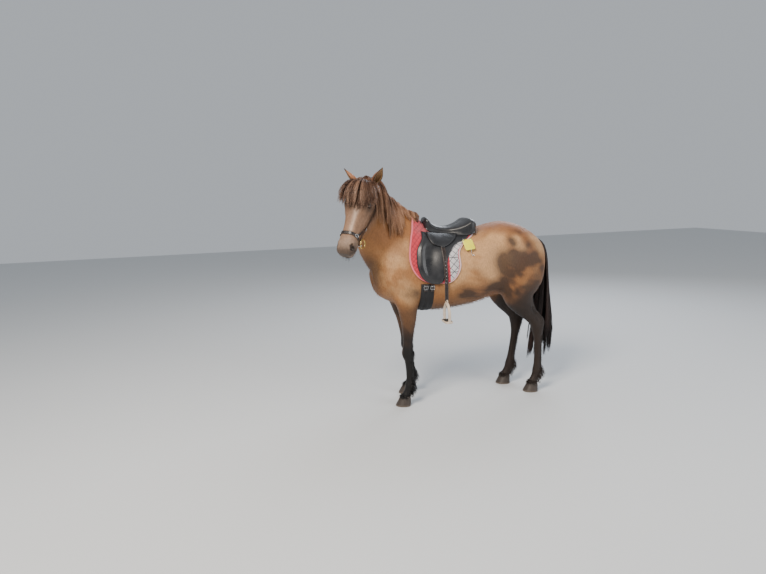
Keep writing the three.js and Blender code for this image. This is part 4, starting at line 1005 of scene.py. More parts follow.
def ear(sign):
    axis = unit(0.6 * FACE_OUT - 0.6 * DOWN_FACE + (0.58 if sign > 0 else -0.86) * FACE_LEFT)
    front = DOWN_FACE + sign * 0.55 * FACE_LEFT
    front = unit(front - axis * (front @ axis))
    across = np.cross(front, axis)
    root = from_face((10, 4, sign * 68))
    dark, rust, tan, deep = paints("#1f1511", "#8f5f40", "#bd986c", "#94714f")
    rings, shades = [], []
    for t in np.linspace(-0.12, 1, 34):
        wide, cup = between(EAR_ROWS, np.array([max(t, 0)]))[0]
        thick = min(EAR_THICK, 0.42 * cup)
        shut = np.interp(t, [-0.12, 0.1, 0.3, 0.8, 1], [8, 14, 50, 66, 60])
        a = np.radians(np.linspace(-180 + shut, 180 - shut, 19))
        rim = (np.abs(a) / a[-1]) ** 8
        centre = root + axis * EAR_LENGTH * t + front * (5 * math.sin(3.1 * max(t, 0)))
        out_wide, out_cup = wide * (1 + 0.06 * rim), cup * (1 - 0.1 * rim)
        outer = centre + across * (out_wide * np.sin(a))[:, None] - front * (out_cup * np.cos(a))[:, None]
        b = a[::-1]
        inner = (centre + across * ((wide - thick) * np.sin(b))[:, None]
                 - front * ((cup - thick) * np.cos(b))[:, None])
        rings.append(np.concatenate([outer, inner]))
        edge = np.clip(rim + np.clip((t - 0.72) / 0.2, 0, 1), 0, 1)
        outside = mixed(rust, dark, 0.9 * edge + 0.25 * (sign > 0))
        inside = mixed(deep, tan, np.clip((np.abs(b) / a[-1] - 0.15) * 1.6, 0, 1))
        inside = mixed(inside, dark, 0.8 * (rim[::-1] > 0.9) + 0.5 * (t < 0.08))
        shades.append(np.concatenate([outside, inside]))
    name = "ear_shell_" + ("left" if sign > 0 else "right")
    joined_up(name, *lofted(rings), coat_finish, "coat", colours=np.concatenate(shades))
    # hair from both rims and from the back of the cup, leaning up and across the opening
    draw = np.random.default_rng(31 + sign)
    number = 170
    i = draw.integers(4, 28, number)
    j = np.where(draw.uniform(size=number) < 0.6, draw.choice([20, 21, 22, 34, 35, 36], number),
                 draw.integers(22, 35, number))
    every = np.array(rings)
    roots = every[i, j]
    middle = every[i].mean(1) + front * 10
    uneven = draw.normal(0, 0.12, (number, 3))
    heading = unit(axis * 1.1 + front * 0.25 + 0.5 * (middle - roots) / 30 + uneven)
    length = draw.uniform(9, 20, number) * np.interp(i, [4, 20, 28], [1, 0.9, 0.5])
    steps = np.linspace(0, 1, 4)[None, :, None]
    paths = roots[:, None] + heading[:, None] * steps * length[:, None, None] + axis * 4 * steps**2
    shade = 0.8 * mixed(tan, deep, draw.uniform(0, 1.0, number))
    return paths, draw.uniform(1.2, 2.0, number), np.tile(front, (number, 1)), shade, shade * 1.15


ear_hair = [ear(sign) for sign in (1, -1)]
hair_piece("ear_hair", *(np.concatenate(part) for part in zip(*ear_hair)))

# Eyes: large dark balls that look out to the side, with a clear bulging front, a brown iris and a
# pupil that lies level. They are wet, so they carry the lamps as sharp points of light.
eye_finish, tree = new_material("Wet_eye")
fleck = noise(tree, object_place(tree), 900.0, 2.0)
tone = scaled(tree, own_values(tree, "Tint")["Color"], span(tree, fleck, 0.8, 1.25))
surface(tree, Base_Color=tone, Roughness=0.12, IOR=1.376, Coat_Weight=1.0, Coat_Roughness=0.03)
for side, sign in (("left", 1), ("right", -1)):
    look = unit(FACE_LEFT * sign * 0.95 + DOWN_FACE * 0.2 + FACE_OUT * 0.12)
    level = unit(DOWN_FACE - look * (DOWN_FACE @ look))
    rise = np.cross(look, level)
    turns = np.radians(np.arange(0, 360, 11.25))
    centre = from_face((EYE["down"], EYE["out"], sign * EYE["side"]))
    rings, shades = [], []
    iris, pupil_black, rim_tone = paints("#3b2213", "#0a0605", "#1a100c")
    for off in np.radians(np.concatenate([[3], np.arange(8, 96, 5), np.arange(100, 180, 16)])):
        size = EYE["radius"] + 1.6 * math.exp(-(off / 0.6) ** 2)
        flat = size * math.sin(off)
        ring = centre + look * size * math.cos(off) + level * (flat * np.cos(turns))[:, None]
        rings.append(ring + rise * (flat * np.sin(turns))[:, None])
        pupil = np.hypot(np.cos(turns) * flat / 6.6, np.sin(turns) * flat / 3.6)
        shade = mixed(iris, pupil_black, (1.15 - pupil) * 4)
        shades.append(mixed(shade, rim_tone, np.full(len(turns), (flat - 10.5) / 2)))
    joined_up("eyeball_" + side, *lofted(rings), eye_finish, "eye", ["eye_" + side], np.concatenate(shades))

# Hooves: walls of dark horn that grow down from the coronet in faint rings, worn pale and rough at
# the ground, and flat below.
hoof_finish, tree = new_material("Hoof_horn")
place = object_place(tree)
tall = node(tree, "ShaderNodeMapping", _0=place, _3=(1.0, 1.0, 0.08)).outputs[0]
fibre = noise(tree, tall, 420.0, 3.0)
height = node(tree, "ShaderNodeSeparateXYZ", _0=place).outputs[2]
tone = blend(tree, fibre, "#221c18", "#4b4038")
tone = blend(tree, span(tree, height, 0.0, 0.8, 0.016, 0.0), tone, "#6f6255")
dull = span(tree, noise(tree, place, 30.0, 4.0), 0.38, 0.62)
surface(tree, (fibre, 0.35, 0.0008), Base_Color=tone, Roughness=dull)
HOOF = {"coronet": 62, "crown": 46, "sole": 59, "toe_lean": 26, "heel": 0.82}
for leg in FOOT_FORWARD:
    x, y = limb_rows(leg)[-2, :2]
    a = np.radians(np.arange(0, 360, 9))
    rings = []
    for z in np.concatenate([[74, 68], np.arange(62, 4, -3.2), [3, 1, 0, 0]]):
        down = np.clip((HOOF["coronet"] - z) / (HOOF["coronet"] - 6), 0, 1)
        radius = HOOF["crown"] + (HOOF["sole"] - HOOF["crown"]) * down**0.9
        radius += 0.45 * math.sin(z * 0.78 + 0.6 * math.sin(z * 0.31))
        radius -= (2.0 if z < 2 else 0) + (6 if z > 66 else 0)
        lean = HOOF["toe_lean"] * down
        if z == 0 and rings and abs(rings[-1][0][2]) < 1e-9:
            radius *= 0.86
        power = np.where(np.cos(a) > 0, 1.0, 1 / 1.3)
        ahead_of = np.sign(np.cos(a)) * np.abs(np.cos(a)) ** power
        reach = np.where(np.cos(a) > 0, radius + lean * 0.35, radius * HOOF["heel"])
        aside = np.sign(np.sin(a)) * np.abs(np.sin(a)) ** power
        across = y + aside * radius
        rings.append(np.column_stack([x + lean * 0.45 + ahead_of * reach, across, np.full(len(a), float(z))]))
    joined_up("horn_" + leg, *lofted(rings), hoof_finish, "hoof", ["hoof_" + leg])

# Bridle: straps of dark oiled leather 15 to 24 mm wide, doubled and stitched, with rounded edges. One
# goes over the poll and down each cheek to the bit; a low noseband meets rings at the side of the nose.
strap_finish, tree = new_material("Oiled_leather")
place = object_place(tree)
part_of = node(tree, "ShaderNodeSeparateXYZ", _0=own_values(tree, "Strap")["Vector"]).outputs
grain = node(tree, "ShaderNodeTexVoronoi", Vector=place, Scale=700.0).outputs[0]
wear = noise(tree, place, 45.0, 4.0)
aside = maths(tree, "ABSOLUTE", part_of[1])
seam_off = maths(tree, "ABSOLUTE", maths(tree, "SUBTRACT", aside, 0.68))
# stitches are 3 mm long in the real strap, and drawn 6 mm long here so that they show
beat = maths(tree, "FRACT", maths(tree, "MULTIPLY", part_of[0], 1 / 0.009))
near = maths(tree, "LESS_THAN", seam_off, 0.06)
stitch = maths(tree, "MULTIPLY", maths(tree, "LESS_THAN", beat, 0.64), near)
base = blend(tree, wear, "#120d0c", "#2e231f")
# painted highlight along the edges of the straps
edge_highlighted = blend(tree, span(tree, aside, 0.0, 0.75, 0.80, 1.0), base, "#54463f")
sewn = blend(tree, stitch, edge_highlighted, "#564a42")
surface(tree, (grain, 0.25, 0.0006), Base_Color=sewn, Roughness=span(tree, wear, 0.26, 0.46))


def strap(name, path, outs, width, thick, finish, slot, node_names=(), base_lift=0.0):
    """A flat strap with rounded edges along a path, its inner face on the path and its outside along outs."""
    path, outs = np.asarray(path, float), np.asarray(outs, float)
    run = unit(np.gradient(path, axis=0))
    outs = unit(outs - run * (outs * run).sum(1)[:, None])
    aside = np.cross(outs, run)
    half = width / 2
    edge = min(thick * 0.45, half * 0.3)
    section = [(-half, 0.35), (-half + edge, 0.0), (half - edge, 0.0), (half, 0.35), (half, 0.68),
               (half - edge * 0.6, 0.94), (half * 0.68, 1.0), (half * 0.3, 1.04), (-half * 0.3, 1.04),
               (-half * 0.68, 1.0), (-half + edge * 0.6, 0.94), (-half, 0.68)]
    sides = [path + aside * a + outs * (base_lift + b * thick) for a, b in section]
    points, faces = lofted(np.stack(sides, 1))
    piece = joined_up(name, points, faces, finish, slot, node_names)
    along = np.concatenate([[0], np.cumsum(np.linalg.norm(np.diff(path, axis=0), axis=1))]) / 1000
    across = np.array([a / half for a, b in section])
    kept = np.stack(np.broadcast_arrays(along[:, None], across[None, :], 0.0 * along[:, None]), -1)
    layer = piece.data.attributes.new("Strap", "FLOAT_VECTOR", "POINT")
    layer.data.foreach_set("vector", kept.reshape(-1).astype(np.float32))
    return piece


def spread_along(points, gap=6.0):
    """A smooth curve through points, read at even steps."""
    points = np.asarray(points, float)
    fine = between(points, np.linspace(0, 1, 60 * len(points)))
    far = np.concatenate([[0], np.cumsum(np.linalg.norm(np.diff(fine, axis=0), axis=1))])
    at = np.linspace(0, far[-1], max(4, int(far[-1] / gap)))
    return np.column_stack([np.interp(at, far, fine[:, k]) for k in range(3)])


def lies(places, lift, gap=6.0):
    """A path through places of the head's own frame, laid on the flesh, with the directions out of it."""
    path = onto(spread_along([from_face(q) for q in places], gap), lift, 5)
    for _ in range(2):
        path[1:-1] = 0.5 * path[1:-1] + 0.25 * (path[2:] + path[:-2])
    return path, unit(slope(path, step=6.0))


STRAP_LIFT, STRAP_THICK = -1.2, 4.4
left_cheek = [(-26, 46, 44), (-20, 8, 74), (14, -24, 84), (70, -50, 92), (150, -80, 98), (225, -104, 82),
              (292, -126, 58), (345, -120, 52), (418, -100, 52)]
right_cheek = [(a, b, -c) for a, b, c in left_cheek[::-1]]
strap("headpiece_strap", *lies(right_cheek + [(-24, 62, 0)] + left_cheek, STRAP_LIFT), 15, STRAP_THICK,
      strap_finish, "leather", ["headpiece"])


def round_strap(name, half, middle, lift, wide, thick, node_names=()):
    """A strap round the head, given by the places down its left half and the middle one."""
    places = half + [middle] + [(a, b, -c) for a, b, c in half[::-1]]
    strap(name, *lies(places, lift), wide, thick, strap_finish, "leather", node_names)


round_strap("throat_strap", [(10, -30, 84), (46, -80, 86), (84, -150, 70), (112, -196, 44)], (120, -214, 0),
            2.0, 12, 3.6)
round_strap("browband", [(6, -8, 88), (40, 30, 86), (62, 52, 62)], (70, 62, 0), 0.0, 16, 4.0)
round_strap("noseband_front", [(428, -14, 62), (424, 10, 52), (424, 22, 28)], (424, 26, 0),
            STRAP_LIFT, 24, 5.4, ["noseband"])
for side, sign in (("left", 1), ("right", -1)):
    nose_cheek = [(424, -18, sign * 62), (380, -56, sign * 66), (334, -94, sign * 66), (300, -122, sign * 58)]
    strap("noseband_cheek_" + side, *lies(nose_cheek, 0.4), 17, 4.2, strap_finish, "leather")
round_strap("noseband_chin", [(430, -20, 62), (440, -70, 60), (448, -112, 44), (456, -138, 20)],
            (458, -142, 0), STRAP_LIFT, 17, 4.2)

# Rings, bit and buckles: the bit has loose rings of brass and a bar of polished steel, and the noseband's
# rings and the buckles are of polished steel, cast and buffed, so they flash where the light catches them.
def polished(name, scale, dark, bright, low, high):
    made, tree = new_material(name)
    spot = noise(tree, object_place(tree), scale, 3.0)
    surface(tree, Base_Color=blend(tree, spot, dark, bright), Metallic=1.0,
            Roughness=span(tree, spot, low, high))
    return made


brass_finish = polished("Polished_brass", 160.0, "#c9a64f", "#e7cf86", 0.16, 0.34)
steel_finish = polished("Polished_steel", 190.0, "#a9abac", "#dfe1e2", 0.18, 0.36)


def wire(name, path, radius, finish, slot="brass", node_names=(), closed=True, sides=10):
    """A round bar bent along a path."""
    path = np.asarray(path, float)
    run = unit((np.roll(path, -1, 0) - np.roll(path, 1, 0)) if closed else np.gradient(path, axis=0))
    flat = np.linalg.svd(path - path.mean(0))[2][2]
    first = unit(np.cross(run, flat))
    second = np.cross(run, first)
    turn = np.arange(sides) * 2 * math.pi / sides
    rings = path[:, None] + radius * (first[:, None] * np.cos(turn)[None, :, None]
                                      + second[:, None] * np.sin(turn)[None, :, None])
    return joined_up(name, *lofted(rings, closed), finish, slot, node_names)


def hoop(centre, along, up, half_along, half_up, power=2.0, steps=36):
    """A loop of points, an oval that gets squarer as the power rises."""
    a = np.linspace(0, 2 * np.pi, steps, endpoint=False)
    u, v = (np.sign(k) * np.abs(k) ** (2 / power) for k in (np.cos(a), np.sin(a)))
    return np.asarray(centre) + np.outer(u * half_along, along) + np.outer(v * half_up, up)


BIT = {"down": 440, "out": -104, "side": 75, "radius": 32, "wire": 4}
for side, sign in (("left", 1), ("right", -1)):
    at = from_face((BIT["down"], BIT["out"], sign * BIT["side"]))
    wire("bit_ring_" + side, hoop(at, DOWN_FACE, FACE_OUT, BIT["radius"], BIT["radius"]), BIT["wire"],
         brass_finish, node_names=["bit_" + side])
    joint = onto(from_face((426, -16, sign * 62))[None], 3.0)[0]
    out = unit(slope(joint[None], step=6.0)[0])
    along = unit(DOWN_FACE - out * (DOWN_FACE @ out))
    wire("nose_ring_" + side, hoop(joint + out * 1.5, along, np.cross(out, along), 13, 13), 2.0, steel_finish)
bar = spread_along([from_face((458, -96, w)) for w in (-76, -50, -20, 0, 20, 50, 76)], 8)
wire("bit_bar", bar + np.outer(3 * np.cos(np.linspace(-1.5, 1.5, len(bar))), DOWN_FACE), 6.0, steel_finish,
     closed=False)


def buckle(name, centre, along, out, width, length):
    """A flat steel frame with its tongue, lying on a strap."""
    aside = np.cross(out, along)
    wire(name, hoop(centre + out * 1.6, along, aside, length / 2, width / 2, 4.5), 1.7, steel_finish)
    tongue = np.array([centre + out * 3 + along * k for k in np.linspace(-length / 2, length / 2, 5)])
    tongue += np.outer([0, 0.4, 0.4, 0.4, 0], out)
    wire(name + "_tongue", tongue, 1.2, steel_finish, closed=False, sides=8)


for side, sign in (("left", 1), ("right", -1)):
    for k, (a, b, c) in enumerate([(118, -70, 97), (316, -124, 55)]):
        path, outs = lies([(a - 8, b + 3, sign * c), (a, b, sign * c), (a + 8, b - 3, sign * c)], 3.2, 4)
        middle = len(path) // 2
        buckle(f"cheek_buckle_{side}_{k}", path[middle], unit(path[-1] - path[0]), outs[middle], 22, 17)

# Saddle pad: two layers of red cotton with wadding between, quilted in 36 mm diamonds and bound at
# the edge. A pale panel with dark threads is sewn on behind, and the whole lies under the saddle.
def shots(starts, headings, lift, turns=16):
    """Where lines that come in from outside first lie at the given distance out of the flesh."""
    starts, headings = np.asarray(starts, float), np.asarray(headings, float)
    gone = np.zeros(len(starts))
    for _ in range(turns):
        gone = gone + (flesh_field(starts + headings * gone[:, None]) - lift) * 0.9
    return starts + headings * gone[:, None]


def shell(name, outer, inner, finish, slot, node_names=(), layers=None):
    """A closed sheet between two grids of points, with values kept at its points for its material."""
    n, m = outer.shape[:2]
    points = np.concatenate([outer.reshape(-1, 3), inner.reshape(-1, 3)])
    at = np.arange(n * m).reshape(n, m)

    def cells(*corners):
        return np.stack(corners, -1).reshape(-1, 4)

    top = cells(at[:-1, :-1], at[1:, :-1], at[1:, 1:], at[:-1, 1:])
    rim = np.concatenate([at[:, 0], at[-1, 1:], at[-2::-1, -1], at[0, -2:0:-1]])
    walls = cells(rim, np.roll(rim, -1), np.roll(rim, -1) + n * m, rim + n * m)
    faces = np.concatenate([top, top[:, ::-1] + n * m, walls])
    piece = joined_up(name, points, faces, finish, slot, node_names)
    for key, values in (layers or {}).items():
        kind, field = ("FLOAT_VECTOR", "vector") if values.ndim == 3 else ("FLOAT", "value")
        layer = piece.data.attributes.new(key, kind, "POINT")
        both = np.concatenate([values.reshape(n * m, -1)] * 2)
        layer.data.foreach_set(field, both.astype(np.float32).ravel())
    return piece


BARREL_HEIGHT = 1000.0  # of the middle of the barrel
BARREL_ROUND = 292  # its mean radius, for lengths round it
OUTSIDE = 480  # lines to the barrel start this far from its middle


def round_barrel(x, angle):
    """Starts and headings of lines that come in towards the barrel's middle, angle from straight up."""
    out = np.stack(np.broadcast_arrays(0.0 * angle, np.sin(angle), np.cos(angle)), -1)
    middle = np.stack(np.broadcast_arrays(x, 0.0, BARREL_HEIGHT), -1)
    return middle + out * OUTSIDE, -out


def down_the_side(x, heights, sign, lift):
    """A path down one side of the barrel, at a distance out of the flesh."""
    starts = np.column_stack([np.full(len(heights), x), np.full(len(heights), sign * 470), heights])
    return shots(starts, np.tile([0.0, -sign, 0.0], (len(heights), 1)), lift, 30)


def cloth_places(x, angle, edge):
    """Where the points of a sheet lie along the barrel, round it, and in from the edge, in metres."""
    return np.stack([x, angle * BARREL_ROUND, edge], -1) / 1000


# edges of the pad, the flaps and the skirts, each as heights with the place along the barrel
PAD_REAR, PAD_FRONT, FLAP_REAR, FLAP_FRONT, SKIRT_REAR, SKIRT_FRONT = (np.array(rows, float) for rows in (
    [[955, 120], [962, 88], [982, 54], [1020, 22], [1080, -2], [1180, -8], [1245, -70], [1310, -164],
     [1420, -178]],
    [[955, 196], [962, 236], [980, 278], [1012, 322], [1080, 362], [1170, 374], [1290, 350], [1400, 310],
     [1460, 300]],
    [[955, 172], [963, 152], [985, 136], [1040, 116], [1150, 90], [1235, 20], [1290, -106], [1420, -120]],
    [[955, 208], [963, 236], [984, 270], [1016, 298], [1060, 314], [1110, 322], [1210, 312], [1300, 262],
     [1440, 240]],
    [[1228, 110], [1233, 88], [1250, 52], [1282, 4], [1330, -36], [1400, -50]],
    [[1228, 132], [1233, 156], [1250, 190], [1290, 213], [1340, 216], [1420, 196]]))
PAD_THICK, FLAP_THICK = 11.0, 8.0


def wrapped(rear, front, columns, rows_from, rows_to, rows, lift):
    """A grid on the barrel between a rear and a front edge, with the angle of each of its points."""
    rear, front = (between(edge, np.linspace(0, 1, 120)) for edge in (rear, front))
    angle = np.linspace(rows_from, rows_to, rows)[:, None] + np.zeros((1, columns))
    share = np.linspace(0, 1, columns)[None, :]
    x = np.full(angle.shape, 100.0)
    for _ in range(3):
        starts, headings = round_barrel(x, angle)
        made = shots(starts.reshape(-1, 3), headings.reshape(-1, 3), lift, 9).reshape(rows, columns, 3)
        z = made[:, :, 2]
        low, high = np.interp(z, rear[:, 0], rear[:, 1]), np.interp(z, front[:, 0], front[:, 1])
        x = low + (high - low) * share
    starts, headings = round_barrel(x, angle)
    made = shots(starts.reshape(-1, 3), headings.reshape(-1, 3), lift, 14).reshape(rows, columns, 3)
    return made, angle


def raised(grid, height):
    """A grid moved straight out of the flesh by a height at each point."""
    flat = grid.reshape(-1, 3)
    return (flat + unit(slope(flat, step=4.0)) * height.reshape(-1, 1)).reshape(grid.shape)


def edge_distance(grid):
    """How far each point of a grid lies from its nearest edge, and from its first column, along the sheet."""
    down, aside = (np.cumsum(np.linalg.norm(np.diff(grid, axis=k), axis=2), k) for k in (0, 1))
    down, aside = np.pad(down, ((1, 0), (0, 0))), np.pad(aside, ((0, 0), (1, 0)))
    return np.minimum(np.minimum(down, down[-1] - down), np.minimum(aside, aside[:, -1:] - aside)), aside


pad_grid, pad_angle = wrapped(PAD_REAR, PAD_FRONT, 84, -1.72, 1.72, 210, 0.0)
pad_edge = edge_distance(pad_grid)[0]
arc = pad_angle * BARREL_ROUND
QUILT = 36.0
one = (pad_grid[:, :, 0] + arc) / QUILT % 1
two = (pad_grid[:, :, 0] - arc) / QUILT % 1
puff = np.minimum(np.sin(math.pi * one), np.sin(math.pi * two)) ** 0.9
inside = np.clip((pad_edge - 12) / 10, 0, 1)
bound = np.exp(-((pad_edge - 6) / 5.0) ** 2)
pad_top = 4.5 + 3.2 * puff * inside + 2.4 * inside + 3.4 * bound
PANEL = {"front": 84, "inset": 15, "top": 1262}
panel = np.minimum(PANEL["front"] - pad_grid[:, :, 0],
                   np.minimum(pad_edge - PANEL["inset"], PANEL["top"] - pad_grid[:, :, 2]))
pad_finish, tree = new_material("Quilted_cotton")
cloth_at = own_values(tree, "Cloth")["Vector"]
part_of = node(tree, "ShaderNodeSeparateXYZ", _0=cloth_at).outputs
# threads 0.5 mm apart in the real cloth, drawn 2.5 mm apart here so that they show
weave = node(tree, "ShaderNodeTexWave", {"bands_direction": "DIAGONAL"}, Vector=cloth_at, Scale=62.0,
             Distortion=1.5, Detail=2.0).outputs["Fac"]
soil = noise(tree, object_place(tree), 14.0, 5.0)
bind = span(tree, part_of[2], 0.8, 0.0, 0.0105, 0.0115)
red = blend(tree, bind, blend(tree, soil, "#a51b2b", "#c43344"), "#d9707e")
# painted shade: the red darkens down to 0.42 in the quilted lines between the puffs
red = scaled(tree, red, span(tree, own_values(tree, "Puff_for_shade")["Fac"], 0.42, 1.0, 0.05, 0.5))
back_edge = maths(tree, "MULTIPLY", span(tree, part_of[0], 1.0, 0.0, 0.098, 0.106), bind)
red = blend(tree, back_edge, red, "#cbbdbb")


def bands(tree, u, v, sign, pitch, width):
    """Dark threads across a panel, one way of a lattice."""
    total = maths(tree, "ADD", u, maths(tree, "MULTIPLY", v, float(sign)))
    return maths(tree, "LESS_THAN", maths(tree, "FRACT", maths(tree, "DIVIDE", total, pitch)), width)


lines = [bands(tree, part_of[0], part_of[1], sign, 0.052, 0.11) for sign in (1, -1)]
level = bands(tree, part_of[1], part_of[0], 0, 0.104, 0.05)
dark_line = maths(tree, "MAXIMUM", maths(tree, "MAXIMUM", *lines), level)
pale = blend(tree, dark_line, blend(tree, soil, "#9c9aa0", "#d8d4d2"), "#3a3a40")
on_panel = span(tree, own_values(tree, "Panel")["Fac"], 0.0, 1.0, 0.0, 0.0008)
surface(tree, (weave, 0.35, 0.0012), Base_Color=blend(tree, on_panel, red, pale), Roughness=0.88,
        Sheen_Weight=0.25, Sheen_Roughness=0.6)
layers = {"Cloth": cloth_places(pad_grid[:, :, 0], pad_angle, pad_edge), "Panel": panel / 1000,
          "Puff_for_shade": np.where(inside > 0, puff, 1)}
pad = shell("quilted_pad", raised(pad_grid, pad_top), raised(pad_grid, np.full(pad_top.shape, -1.5)),
            pad_finish, "pad", ["saddle_pad"], layers)

# Saddle flaps: firm black leather 8 mm thick with its lining, cut full at the knee, with a roll of felt
# under the leather along the front, a turned edge and a line of stitches.
saddle_finish, tree = new_material("Saddle_leather")
place = object_place(tree)
part_of = node(tree, "ShaderNodeSeparateXYZ", _0=own_values(tree, "Cloth")["Vector"]).outputs
grain = node(tree, "ShaderNodeTexVoronoi", {"feature": "DISTANCE_TO_EDGE"}, Vector=place, Scale=430.0)
wear = noise(tree, place, 16.0, 6.0)
seam_at = node(tree, "ShaderNodeMath", {"operation": "COMPARE"}, _0=part_of[2], _1=0.0135, _2=0.0009)
stitch = maths(tree, "MULTIPLY", seam_at.outputs[0], bands(tree, part_of[0], part_of[1], 1, 0.0085, 0.62))
sewn = blend(tree, stitch, blend(tree, wear, "#121214", "#2c2d30"), "#454649")
surface(tree, (grain.outputs["Distance"], 0.3, 0.0008), Base_Color=sewn,
        Roughness=span(tree, wear, 0.24, 0.44))
for side, sign in (("left", 1), ("right", -1)):
    grid, angle = wrapped(FLAP_REAR, FLAP_FRONT, 46, sign * 0.30, sign * 1.735, 74, PAD_THICK + 0.4)
    edge, along = edge_distance(grid)
    front = along[:, -1:] - along
    turned = 1 - 0.55 * np.exp(-(edge / 3.5) ** 2)
    low = np.clip((1290 - grid[:, :, 2]) / 60, 0, 1) * np.clip((grid[:, :, 2] - 985) / 50, 0, 1)
    roll = 9.0 * np.exp(-((front - 34) / 20) ** 2) * low
    crease = -1.6 * np.exp(-((front - 62) / 4) ** 2) * low
    sag = 0.8 * np.sin(grid[:, :, 0] / 37) * np.sin(grid[:, :, 2] / 51)
    top = (FLAP_THICK - 1.2) * turned + roll + crease + sag * np.clip(edge / 30, 0, 1)
    shell("flap_leather_" + side, raised(grid, top), grid, saddle_finish, "saddle", ["flap_" + side],
          {"Cloth": cloth_places(grid[:, :, 0], angle, edge)})

# Seat: foam on a wooden tree under soft leather, with a dipped middle, a raised cantle and pommel, a
# welt along its edge, and on each side a skirt that covers the stirrup bar.
SEAT = np.array([  # x, top, half width
    [-186, 1362, 96], [-172, 1412, 150], [-140, 1424, 166], [-92, 1398, 156], [-30, 1376, 134],
    [30, 1368, 108], [96, 1376, 92], [150, 1402, 86], [182, 1440, 80], [202, 1438, 66], [212, 1408, 48],
], float)
SEAT_CROWN = 44  # the seat is widest this far below its top
SEAT_LIFT = PAD_THICK + FLAP_THICK + 1.5
a = np.radians(np.arange(0, 360, 6))
c, s = np.cos(a), np.sin(a)
power = np.where(s > 0, 2 / 2.6, 2 / 3)
rings, welt = [], {1: [], -1: []}
for x, top, half in between(SEAT, np.linspace(0, 1, 58)):
    up = np.where(s > 0, 42, 150) * np.abs(s) ** power * np.sign(s)
    y = half * np.sign(c) * np.abs(c) ** power
    dip = -5.0 * np.exp(-(y / 26) ** 2) * (s > 0) * math.exp(-((x - 20) / 120) ** 2)
    rings.append(np.column_stack([np.full(len(a), x), y, top - SEAT_CROWN + up + dip]))
    for sign in (1, -1):
        welt[sign].append([x, sign * half * 0.985, top - SEAT_CROWN + 9])
points, faces = lofted(rings)
deep = flesh_field(points) < SEAT_LIFT
points[deep] = onto(points[deep], SEAT_LIFT, 5)
seat = joined_up("seat_leather", points, faces, saddle_finish, "saddle", ["saddle_seat"])
for side, sign in (("left", 1), ("right", -1)):
    wire("seat_welt_" + side, spread_along(welt[sign], 7), 3.2, saddle_finish, "saddle", closed=False,
         sides=8)
    lift = PAD_THICK + FLAP_THICK + 6.4
    grid, angle = wrapped(SKIRT_REAR, SKIRT_FRONT, 40, sign * 0.34, sign * 0.83, 34, lift)
    edge = edge_distance(grid)[0]
    shell("skirt_" + side, raised(grid, 4.0 - 1.8 * np.exp(-(edge / 3) ** 2)), grid, saddle_finish, "saddle",
          layers={"Cloth": cloth_places(grid[:, :, 0], angle, edge)})

# Girth: a wide padded band of black webbing under the belly, in three channels, with a buckle and
# straps at each end under the flap.
girth_finish, tree = new_material("Nylon_webbing")
cloth_at = own_values(tree, "Cloth")["Vector"]
# ribs of the webbing are 1 mm apart, drawn 3 mm apart here so that they show
ribs = node(tree, "ShaderNodeTexWave", {"bands_direction": "Y"}, Vector=cloth_at, Scale=52.0, Distortion=0.6)
surface(tree, (ribs.outputs["Fac"], 0.2, 0.0008), Roughness=0.72,
        Base_Color=blend(tree, noise(tree, cloth_at, 22.0, 4.0), "#0c0c0d", "#1e1e21"))
GIRTH = {"rear": 186, "front": 296, "channel": 36.7, "clear": 236}  # clear of the forelegs up to there
ROWS, COLUMNS, GIRTH_END = 150, 30, 1.76
angle = np.linspace(GIRTH_END, 2 * math.pi - GIRTH_END, ROWS)[:, None] + np.zeros((1, COLUMNS))
x = np.linspace(GIRTH["rear"] + 1, GIRTH["front"] - 1, COLUMNS)[None, :] + 0 * angle
starts, headings = round_barrel(x, angle)
grid = shots(starts.reshape(-1, 3), headings.reshape(-1, 3), 0.0, 20).reshape(ROWS, COLUMNS, 3)
middle = np.array([0, 0, BARREL_HEIGHT])
reach = np.linalg.norm(grid - middle - grid * [1, 0, 0], axis=2)
# the forelegs stand in the way of the lines further forward, so there the band keeps its round
clear = np.argmin(np.abs(x[0] - GIRTH["clear"]))
reach = np.minimum(reach, reach[:, clear:clear + 1] + 0.22 * np.clip(x - GIRTH["clear"], 0, 99))
grid = middle + x[:, :, None] * [1, 0, 0] - headings * reach[:, :, None]
edge = edge_distance(grid)[0]
channels = np.abs(np.sin(math.pi * (x - GIRTH["rear"]) / GIRTH["channel"])) ** 0.5
girth = shell("girth_band", raised(grid, 4.0 + 4.6 * channels * np.clip(edge / 6, 0, 1)),
              raised(grid, np.full(edge.shape, -1.5)), girth_finish, "saddle", ["girth"],
              {"Cloth": cloth_places(x, angle, edge)})
for side, sign in (("left", 1), ("right", -1)):
    aside = np.array([0, float(sign), 0])
    for k, x in enumerate((215, 262)):
        path = down_the_side(x, np.arange(952, 893, -5.0), sign, 9.4)
        strap(f"girth_tab_{side}_{k}", path, np.tile(aside, (len(path), 1)), 25, 2.6, strap_finish, "leather")
        buckle(f"girth_buckle_{side}_{k}", path[5] + 2.4 * aside, np.array([0, 0, -1.0]), aside, 31, 26)

